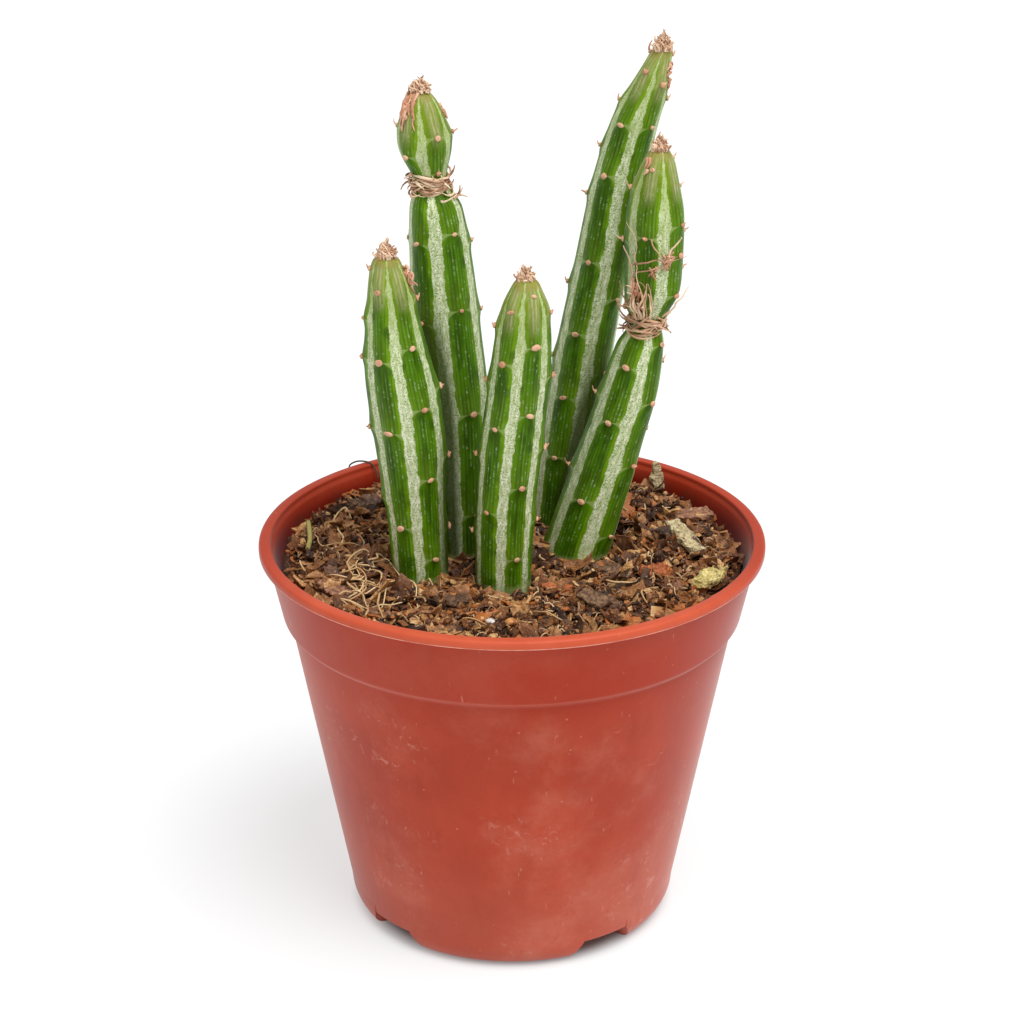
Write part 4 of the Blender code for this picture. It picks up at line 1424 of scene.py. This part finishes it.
class PLANT_OT_scars(bpy.types.Operator):
    """Make the leaf scars and the dried leaf ends that stand on them"""

    bl_idname = "plant.scars"
    bl_label = "Leaf scars"

    def execute(self, context):
        shades = ((136, 84, 58), (196, 138, 106), (232, 188, 154))
        material = dried_material("dried leaf end", *shades)
        for name in STEMS:
            self.make_scars(name, material)
        return {"FINISHED"}

    def make_scars(self, name, material):
        draw = random.Random("pads " + name)
        templates = [scar_template(draw) for _ in range(SCAR_KINDS)]
        places = []
        strands = []
        for rib, depths in enumerate(rib_scars(name)):
            for depth in depths:
                turn = rib + 0.5 + draw.uniform(-0.03, 0.03)
                here, out, up = surface_place(name, turn, depth)
                side = up.cross(out)
                facing = -out.y
                grow = draw.uniform(0.85, 1.2) * min(1.0, 0.75 + depth / 40.0) * MM
                axes = Matrix((side, up, out)).transposed().to_4x4()
                tilt = Matrix.Rotation(math.radians(draw.uniform(-25, 25)), 4, "Z")
                wide = draw.uniform(1.3, 2.0) if name in FRONT_STEMS else draw.uniform(1.1, 1.6)
                tall = draw.uniform(0.9, 1.25)
                size = Matrix.Diagonal((wide * grow, tall * grow, 0.9 * grow, 1.0))
                place = Matrix.Translation(here + out * 0.12 * MM) @ axes @ tilt @ size
                places.append((place, draw.randrange(SCAR_KINDS), draw.uniform(0.35, 0.75)))
                reach = draw.uniform(0.9, 2.4) if facing < 0.6 else draw.uniform(0.3, 0.9)
                if name in FRONT_STEMS or (name == "back_left" and depth > 20.0):
                    reach *= 0.45
                strands.append(self.leaf_end(here, out, up, side, reach * MM, draw))
        for patch in PATCHES.get(name, ()):
            strands += self.dried_patch(name, patch, draw)
        pads = scatter("pads", templates, places)
        ends = strands_mesh("ends", strands)
        shape = bmesh.new()
        shape.from_mesh(pads)
        shape.from_mesh(ends)
        bpy.data.meshes.remove(pads)
        bpy.data.meshes.remove(ends)
        mesh = to_mesh(shape, "leaf_scars_" + name, normals=False)
        new_piece("leaf_scars_" + name, mesh, material, "dried_leaf")

    def dried_patch(self, name, patch, draw):
        """Shrivelled leaves that cling to the skin in one place."""
        turn, depth, width, length, stand, count = patch
        strands = []
        for _ in range(count):
            across = draw.uniform(-0.5, 0.5) * width
            start = depth + draw.uniform(-0.5, 0.3) * length
            span = draw.uniform(0.5, 1.1) * length * 0.6
            phase = draw.uniform(0.0, 6.28)
            thick = draw.uniform(0.2, 0.44) * MM
            lift = stand * MM * draw.uniform(0.2, 0.9)

            def path(t):
                along = max(0.6, start + span * t)
                here, out, up = surface_place(name, turn + across * 0.12, along)
                swing = 0.35 * MM * math.sin(4.0 * t + phase)
                stray = out * lift * (0.7 + 0.5 * math.sin(3.0 * t + phase))
                return here + stray + up.cross(out) * (across * 0.5 * MM + swing)

            tone = draw.uniform(0.55, 1.0)
            strands.append(strand_along(7, path, lambda t: thick * (1.0 - 0.6 * t), tone))
        return strands

    def leaf_end(self, here, out, up, side, reach, draw):
        """A dried leaf end: a tapering thread that leaves the scar outward and hooks up."""
        sway = draw.uniform(-0.6, 0.6)
        rise = draw.uniform(0.1, 0.9)

        def path(t):
            ahead = out * (reach * (t - 0.25 * t * t))
            lift = up * (reach * rise * t * t)
            drift = side * (reach * sway * t * t)
            return here + out * 0.1 * MM + ahead + lift + drift

        tone = draw.uniform(0.2, 0.8)
        return strand_along(7, path, lambda t: (0.34 - 0.25 * t**0.6) * MM, tone)


# ---------------------------------------------------------------- crowns and collars


TUFT_STRANDS = 110
# The turn from one strand of a tuft to the next, in radians.
SPIRAL_STEP = 2.4
COLLAR_WRAPS = 54
COLLAR_ENDS = 16
# How far below its stem's tip the right collar lies, in millimetres.
COLLAR_DEPTH = 34.5


class PLANT_OT_crowns(bpy.types.Operator):
    """Make the tufts of dried leaf ends on the growing tips"""

    bl_idname = "plant.crowns"
    bl_label = "Crowns"

    def execute(self, context):
        material = dried_material("dried crown", (116, 78, 54), (196, 152, 118), (240, 210, 180))
        for name in STEMS:
            draw = random.Random("crown " + name)
            low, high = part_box("crown_" + name)
            middle = (low + high) / 2
            reach = high.z - low.z
            spread = (high.x - low.x) / 2
            foot = low.z - 0.4 * MM
            strands = []
            for number in range(TUFT_STRANDS):
                angle = number * SPIRAL_STEP + draw.uniform(-0.3, 0.3)
                out = Vector((math.cos(angle), math.sin(angle), 0.0))
                side = Vector((-out.y, out.x, 0.0))
                from_middle = math.sqrt((number + 0.5) / TUFT_STRANDS)
                start = Vector((middle.x, middle.y, foot - 0.9 * MM * from_middle))
                start += out * spread * from_middle
                length = reach * draw.uniform(0.5, 1.0) * (1.1 - 0.5 * from_middle)
                lean = draw.uniform(-0.4, 0.3) * from_middle
                coil = draw.uniform(0.3, 0.7) * MM
                speed = draw.uniform(2.5, 6.0)
                phase = draw.uniform(0.0, 6.28)
                thick = draw.uniform(0.14, 0.3) * MM

                def path(t):
                    rise = length * (t - 0.3 * t * t * from_middle)
                    swing = coil * t * math.sin(speed * t + phase)
                    sway = coil * t * math.cos(speed * t + phase)
                    away = out * (lean * length * t + swing) + side * sway
                    return start + away + Vector((0.0, 0.0, rise))

                tone = draw.uniform(0.2, 1.0)
                strands.append(strand_along(9, path, lambda t: thick * (1.0 - 0.5 * t * t), tone))
            mesh = strands_mesh("tuft_" + name, strands)
            new_piece("tuft_" + name, mesh, material, "dried_leaf", ["crown_" + name])
        return {"FINISHED"}


class PLANT_OT_collars(bpy.types.Operator):
    """Make the dried leaves wrapped round the necks, with their loose strands"""

    bl_idname = "plant.collars"
    bl_label = "Neck collars"

    def execute(self, context):
        shades = ((134, 88, 62), (208, 162, 126), (244, 216, 184))
        material = dried_material("dried neck leaf", *shades)
        for name in COLLARED_STEMS:
            self.make_collar(name, material)
        return {"FINISHED"}

    def make_collar(self, name, material):
        draw = random.Random("collar " + name)
        axis = stem_axis(name)
        low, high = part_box("collar_" + name)
        strands = []
        for _ in range(COLLAR_WRAPS):
            crowded = (low.z + 2 * high.z) / 3
            height = draw.triangular(low.z + 0.2 * MM, high.z + 0.4 * MM, crowded)
            x, y, radius = axis.at(height)
            start = draw.uniform(0, 2 * math.pi)
            arc = draw.uniform(0.8, 2.8) * draw.choice((-1, 1))
            slope = draw.gauss(0.0, 0.95) * MM
            stand = draw.uniform(0.15, 0.9) * MM
            thick = draw.uniform(0.12, 0.34) * MM

            def wrap(t):
                angle = start + arc * t
                z = height + slope * math.sin(3.0 * t + start)
                _, _, here = axis.at(z)
                out = here + stand * (0.5 + t * t) + 0.3 * MM * math.sin(7 * t + start)
                return Vector((x + out * math.cos(angle), y + out * math.sin(angle), z))

            def girth(t):
                return thick * (0.35 + math.sin(math.pi * min(0.98, t + 0.03))) * 0.8

            strands.append(strand_along(12, wrap, girth, draw.random()))
        for _ in range(COLLAR_ENDS):
            angle = draw.uniform(0, 2 * math.pi)
            height = draw.uniform(low.z, high.z)
            x, y, radius = axis.at(height)
            out = Vector((math.cos(angle), math.sin(angle), 0.0))
            side = Vector((-out.y, out.x, 0.0))
            base = Vector((float(x), float(y), height)) + out * float(radius)
            length = draw.uniform(1.5, 4.2) * MM
            rise = draw.uniform(-0.5, 1.1)
            sway = draw.uniform(-1, 1)

            def path(t):
                shift = out * length * (t - 0.35 * t * t) + Vector((0, 0, length * rise * t * t))
                return base + shift + side * length * sway * t * t

            strands.append(strand_along(7, path, lambda t: (0.3 - 0.2 * t) * MM, draw.random()))
        if name == "front_right":
            strands += self.long_strands(name, draw)
        mesh = strands_mesh("neck_leaves_" + name, strands)
        new_piece("neck_leaves_" + name, mesh, material, "dried_leaf", ["collar_" + name])

    def long_strands(self, name, draw):
        """Long dried strands that climb the upper joint from the collar, and one across it."""
        routes = [
            ((4.55, 33.5), (4.2, 29.0), (4.05, 24.0), (3.95, 19.5)),
            ((4.75, 33.8), (4.45, 28.0), (4.25, 23.0), (4.2, 17.0), (4.05, 14.5)),
            ((4.35, 34.0), (3.95, 31.0), (3.8, 27.5)),
            ((4.15, 23.6), (4.5, 22.2), (4.9, 21.8), (5.25, 20.6)),
            ((4.2, 25.0), (4.65, 23.8), (5.1, 22.9), (5.4, 20.8)),
            ((4.65, 17.4), (4.8, 20.2), (5.0, 22.6)),
            ((5.1, 21.0), (5.25, 18.4), (5.3, 16.6)),
            ((5.35, 34.0), (5.45, 30.5), (5.75, 28.0)),
        ]
        for _ in range(12):
            turn = draw.uniform(3.85, 5.0)
            drift = draw.uniform(-0.3, 0.3)
            climb = draw.uniform(3.0, 9.0)
            shares = (0.0, 0.4, 0.75, 1.0)
            routes.append([(turn + drift * t, COLLAR_DEPTH - climb * t) for t in shares])
        strands = []
        for route in routes:
            knots = []
            for number, (turn, depth) in enumerate(route):
                here, out, up = surface_place(name, turn, depth)
                stand = 0.35 + 0.5 * (number % 2) + draw.uniform(0.0, 0.35)
                if number == len(route) - 1:
                    stand += 1.3
                knots.append(here + out * stand * MM)
            points = wandering(smooth_route(knots, 5), 2.2 * MM, 0.6 * MM)
            count = len(points)
            thick = draw.uniform(0.14, 0.27) * MM
            radii = [thick * (1.0 - 0.75 * (step / count) ** 2) for step in range(count)]
            strands.append((points, radii, draw.uniform(0.3, 0.9)))
        return strands


# ---------------------------------------------------------------- litter


NEST_ROUTES = 20
# Rootlets over the compost, as places in plan in millimetres.
ROOT_ROUTES = (
    ((-41.2, 7.0), (-40.8, 1.7), (-39.2, -4.1), (-35.7, -1.0), (-31.3, -0.4)),
    ((-39.1, 8.6), (-37.6, 14.0), (-35.5, 16.2), (-34.0, 14.5)),
    ((-37.7, 12.9), (-36.5, 7.0), (-35.2, 1.7), (-36.4, -2.0)),
    ((-33.7, -14.4), (-31.8, -12.9), (-28.4, -13.9), (-26.0, -12.0)),
    ((-28.0, -9.8), (-25.4, -9.8), (-23.2, -13.9), (-21.6, -18.4), (-20.2, -18.4)),
    ((-32.4, -17.6), (-30.0, -25.0), (-28.5, -30.7), (-25.6, -34.5)),
    ((-25.8, -15.1), (-26.4, -25.0), (-26.5, -30.7), (-24.8, -35.4)),
    ((-36.3, -26.4), (-32.2, -28.8), (-29.1, -31.7), (-26.1, -32.6)),
    ((-43.5, -7.1), (-43.4, -10.1), (-42.0, -13.1)),
    ((-38.4, -12.0), (-34.0, -16.0), (-31.0, -15.0), (-29.5, -18.6), (-33.0, -20.5)),
    ((-29.0, -17.0), (-24.0, -19.0), (-22.0, -22.6), (-24.6, -26.0), (-29.4, -25.4)),
    ((-27.0, -20.6), (-31.2, -22.0), (-33.2, -19.0), (-30.4, -16.2), (-26.8, -17.4)),
    ((-17.2, -16.9), (-16.8, -18.6), (-15.9, -19.8)),
    ((4.0, -30.0), (7.0, -33.0), (11.0, -34.6)),
    ((18.0, -16.0), (22.0, -18.6), (27.0, -18.0)),
    ((30.0, -20.0), (26.0, -24.0), (27.0, -28.0)),
    ((-12.0, -36.0), (-8.6, -38.2), (-4.0, -38.6)),
)
# The dark hair that arches over the rim, in millimetres.
RIM_HAIR = (
    (-35.9, 38.9, 82.6),
    (-35.6, 39.4, 83.5),
    (-34.2, 40.0, 84.0),
    (-32.4, 40.0, 84.0),
    (-31.0, 39.4, 83.7),
    (-30.0, 38.6, 82.6),
    (-29.4, 37.6, 80.8),
)


class PLANT_OT_litter(bpy.types.Operator):
    """Make the rootlets, the grass stalk, the larger chips and the grit on the compost"""

    bl_idname = "plant.litter"
    bl_label = "Litter"

    def execute(self, context):
        ground = Ground(context.scene.compost_settings.roughness)
        self.make_rootlets(ground)
        self.make_chips(ground)
        self.make_grit(ground)
        return {"FINISHED"}

    def tangle(self, draw):
        """The routes of the rootlets that lie in a loose nest on the left."""
        routes = []
        for _ in range(NEST_ROUTES):
            x = draw.gauss(-30.0, 3.8)
            y = draw.gauss(-18.0, 3.8)
            heading = draw.uniform(0, 2 * math.pi)
            bend = draw.uniform(0.3, 0.9) * draw.choice((-1, 1))
            stride = draw.uniform(1.6, 2.8)
            route = []
            for _ in range(draw.randint(4, 8)):
                route.append((x, y))
                x += stride * math.cos(heading)
                y += stride * math.sin(heading)
                heading += bend + draw.gauss(0.0, 0.2)
                far = math.hypot(x, y)
                if far > 44.0:
                    x, y = x * 44.0 / far, y * 44.0 / far
            routes.append(route)
        return routes

    def make_rootlets(self, ground):
        """Rootlets that loop over the compost, and the withered stalk."""
        draw = random.Random("rootlets")
        strands = []
        for route in (*ROOT_ROUTES, *self.tangle(draw)):
            knots = []
            for number, (x, y) in enumerate(route):
                arc = 1.5 * math.sin(math.pi * number / (len(route) - 1))
                height = ground.surface(x * MM, y * MM) + (1.3 + arc) * MM
                knots.append(Vector((x * MM, y * MM, height)))
            points = wandering(smooth_route(knots, 6), 3.0 * MM, 0.35 * MM)
            thick = draw.uniform(0.14, 0.23) * MM
            count = len(points)
            bulges = [math.sin(math.pi * (step + 2) / (count + 3)) for step in range(count)]
            radii = [thick * (0.55 + 0.45 * bulge) for bulge in bulges]
            strands.append((points, radii, draw.uniform(0.3, 0.95)))
        mesh = strands_mesh("rootlets", strands)
        material = dried_material("rootlet", (132, 92, 56), (190, 148, 98), (228, 196, 146))
        nodes = ["rootlet_loop", "rootlet_long", "rootlet_rim"]
        new_piece("rootlets", mesh, material, "rootlet", nodes)
        points = smooth_route([Vector(point) * MM for point in RIM_HAIR], 5)
        hair = strands_mesh("rim_hair", [(points, [0.2 * MM] * len(points), 0.3)])
        dark = dried_material("rim hair", (52, 42, 32), (84, 70, 54), (120, 102, 80))
        new_piece("rim_hair", hair, dark, "rootlet")
        stalk = self.rough_copy("grass_stalk", 1, 0.0)
        stalk.transform(Matrix.Translation((0.0, 0.0, 1.6 * MM)))
        green = dried_material("withered stalk", (92, 84, 34), (146, 136, 62), (196, 182, 112))
        set_tones(stalk, 0.5)
        new_piece("withered_stalk", stalk, green, "stalk", ["grass_stalk"])

    def rough_copy(self, node, cuts, ragged, seed=1):
        """A CAD solid's shape, merged, subdivided and made rough."""
        shape = bmesh.new()
        shape.from_mesh(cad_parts[node].data)
        bmesh.ops.remove_doubles(shape, verts=shape.verts, dist=WELD)
        bmesh.ops.dissolve_limit(shape, angle_limit=0.02, verts=shape.verts, edges=shape.edges)
        bmesh.ops.triangulate(shape, faces=shape.faces)
        bmesh.ops.subdivide_edges(shape, edges=shape.edges, cuts=cuts, use_grid_fill=True)
        for vertex in shape.verts:
            wave = solid_noise.noise_vector(vertex.co / (1.6 * MM) + Vector((seed, 0, 0)))
            small = solid_noise.noise_vector(vertex.co / (0.6 * MM) + Vector((0, seed, 0)))
            vertex.co += (wave * 0.7 + small * 0.4) * ragged
        bmesh.ops.smooth_vert(
            shape, verts=shape.verts, factor=0.3, use_axis_x=True, use_axis_y=True, use_axis_z=True
        )
        return to_mesh(shape, node)

    def make_chips(self, ground):
        """The larger chips and flakes, each on its own solid's place."""
        yellow = ((150, 124, 62), (206, 186, 112), (234, 218, 152))
        pale = ((128, 108, 78), (186, 166, 122), (220, 206, 164))
        leaf = ((96, 60, 40), (148, 100, 72), (178, 132, 102))
        bark = ((60, 37, 22), (106, 73, 48), (150, 115, 84))
        orange = ((120, 52, 22), (176, 92, 44), (206, 128, 74))
        kinds = {
            "yellow_chip": (yellow, "pale_wood"),
            "pale_chip": (pale, "pale_wood"),
            "standing_chip": (pale, "pale_wood"),
            "leaf_flake": (leaf, "dried_leaf"),
            "orange_bark_chip": (orange, "bark"),
            "bark_flake_right": (bark, "bark"),
            "bark_flake_front": (bark, "bark"),
            "bark_flake_middle": (bark, "bark"),
            "bark_flake_side": (orange, "bark"),
            "bark_flake_back": (bark, "bark"),
            "bark_flake_far": (leaf, "bark"),
        }
        for number, (node, (colors, slot)) in enumerate(kinds.items()):
            mesh = self.rough_copy(node, 5, 0.9 * MM, number * 3.1)
            self.settle(node, mesh, ground, 0.5 * MM)
            material = chip_material(node + " finish", *colors)
            new_piece("rough_" + node, mesh, material, slot, [node])

    def settle(self, node, mesh, ground, gap):
        """Raise a copy of a CAD solid until it clears the lumps of the compost."""
        low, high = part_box(node)
        middle = (low + high) / 2
        lift = max(0.0, ground.surface(middle.x, middle.y) - low.z + gap)
        mesh.transform(Matrix.Translation((0.0, 0.0, lift)))

    def make_grit(self, ground):
        finishes = {
            "white_grit": ((190, 176, 166), (246, 240, 232)),
            "amber_grit": ((156, 92, 40), (214, 150, 84)),
            "pebble": ((118, 92, 70), (170, 142, 112)),
        }
        for node, (dark, pale) in finishes.items():
            mesh = self.rough_copy(node, 1, 0.15 * MM, 2.0)
            self.settle(node, mesh, ground, 0.7 * MM)
            finish = grit_material(node + " finish", dark, pale)
            new_piece("rough_" + node, mesh, finish, "grit", [node])


# ---------------------------------------------------------------- stage


FLOOR_REACH = 6.0
FLOOR_DROP = 0.00005
LIGHT_FROM = (0.27, -0.33, 0.9)
LIGHT_SPREAD = 40.0


class StageSettings(bpy.types.PropertyGroup):
    """Camera, floor and light."""

    distance: length_setting("Camera distance", "From the aim to the camera", 0.6)
    elevation: bpy.props.FloatProperty(
        name="Elevation",
        description="Height of the camera above the horizon",
        default=math.radians(22.7),
        subtype="ANGLE",
    )
    aim_height: length_setting("Aim height", "Height that the camera aims at", 88.65 * MM)
    lens: bpy.props.FloatProperty(
        name="Lens", description="Focal length in millimetres", default=101.95, unit="CAMERA"
    )
    floor_color: color_setting("Floor", "Colour of the floor", (0.385, 0.4, 0.403, 1.0))
    floor_glow: number_setting("Floor glow", "Light that the floor gives off", 0.595)
    surroundings: number_setting("Surroundings", "Brightness of the white surroundings", 0.55)
    key: number_setting("Key light", "Strength of the soft key light", 2.65)


class PLANT_OT_stage(bpy.types.Operator):
    """Make the camera, the pale floor and the soft studio light"""

    bl_idname = "plant.stage"
    bl_label = "Stage"

    def execute(self, context):
        settings = context.scene.stage_settings
        self.make_camera(context, settings)
        self.make_floor(context, settings)
        self.make_light(context, settings)
        return {"FINISHED"}

    def make_camera(self, context, settings):
        data = bpy.data.cameras.new("camera")
        data.lens = settings.lens
        data.sensor_width = 36.0
        data.clip_start = 0.01
        camera = bpy.data.objects.new("camera", data)
        context.scene.collection.objects.link(camera)
        out = settings.distance * math.cos(settings.elevation)
        rise = settings.distance * math.sin(settings.elevation)
        camera.location = (0.0, -out, settings.aim_height + rise)
        camera.rotation_euler = (math.pi / 2 - settings.elevation, 0.0, 0.0)
        context.scene.camera = camera

    def make_floor(self, context, settings):
        shape = bmesh.new()
        bmesh.ops.create_grid(shape, x_segments=1, y_segments=1, size=FLOOR_REACH)
        bmesh.ops.translate(shape, vec=(0.0, 0.0, -FLOOR_DROP), verts=shape.verts)
        mesh = to_mesh(shape, "floor", normals=False)
        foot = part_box("pot")[1].x / MM - HEEL_INSET
        mesh.materials.append(floor_material(settings.floor_color, settings.floor_glow, foot))
        floor = bpy.data.objects.new("floor", mesh)
        context.scene.collection.objects.link(floor)

    def make_light(self, context, settings):
        world = bpy.data.worlds.new("white surroundings")
        world.use_nodes = True
        background = world.node_tree.nodes["Background"]
        background.inputs["Color"].default_value = (1.0, 1.0, 1.0, 1.0)
        background.inputs["Strength"].default_value = settings.surroundings
        context.scene.world = world
        context.scene.view_settings.view_transform = "Standard"
        data = bpy.data.lights.new("key", "SUN")
        data.energy = settings.key
        data.angle = math.radians(LIGHT_SPREAD)
        lamp = bpy.data.objects.new("key", data)
        context.scene.collection.objects.link(lamp)
        lamp.rotation_euler = Vector(LIGHT_FROM).to_track_quat("Z", "Y").to_euler()


# ---------------------------------------------------------------- panel and registration


OPERATORS = (
    PLANT_OT_stage,
    PLANT_OT_pot,
    PLANT_OT_compost,
    PLANT_OT_stems,
    PLANT_OT_scars,
    PLANT_OT_crowns,
    PLANT_OT_collars,
    PLANT_OT_litter,
)

SETTINGS = {
    "pot_settings": PotSettings,
    "compost_settings": CompostSettings,
    "stem_settings": StemSettings,
    "stage_settings": StageSettings,
}


class PLANT_PT_panel(bpy.types.Panel):
    """The plant's settings and the steps that build it"""

    bl_idname = "PLANT_PT_panel"
    bl_label = "Potted Pickle Plant"
    bl_space_type = "VIEW_3D"
    bl_region_type = "UI"
    bl_category = "Pickle Plant"

    def draw(self, context):
        for title, group in SETTINGS.items():
            box = self.layout.box()
            for key in group.__annotations__:
                box.prop(getattr(context.scene, title), key)
        for step in OPERATORS:
            self.layout.operator(step.bl_idname)


CLASSES = (*SETTINGS.values(), *OPERATORS, PLANT_PT_panel)


def register():
    for item in CLASSES:
        bpy.utils.register_class(item)
    for title, group in SETTINGS.items():
        setattr(bpy.types.Scene, title, bpy.props.PointerProperty(type=group))


def unregister():
    for title in SETTINGS:
        delattr(bpy.types.Scene, title)
    for item in reversed(CLASSES):
        bpy.utils.unregister_class(item)


def main():
    register()
    for step in OPERATORS:
        family, action = step.bl_idname.split(".")
        getattr(getattr(bpy.ops, family), action)()


if __name__ == "__main__":
    main()
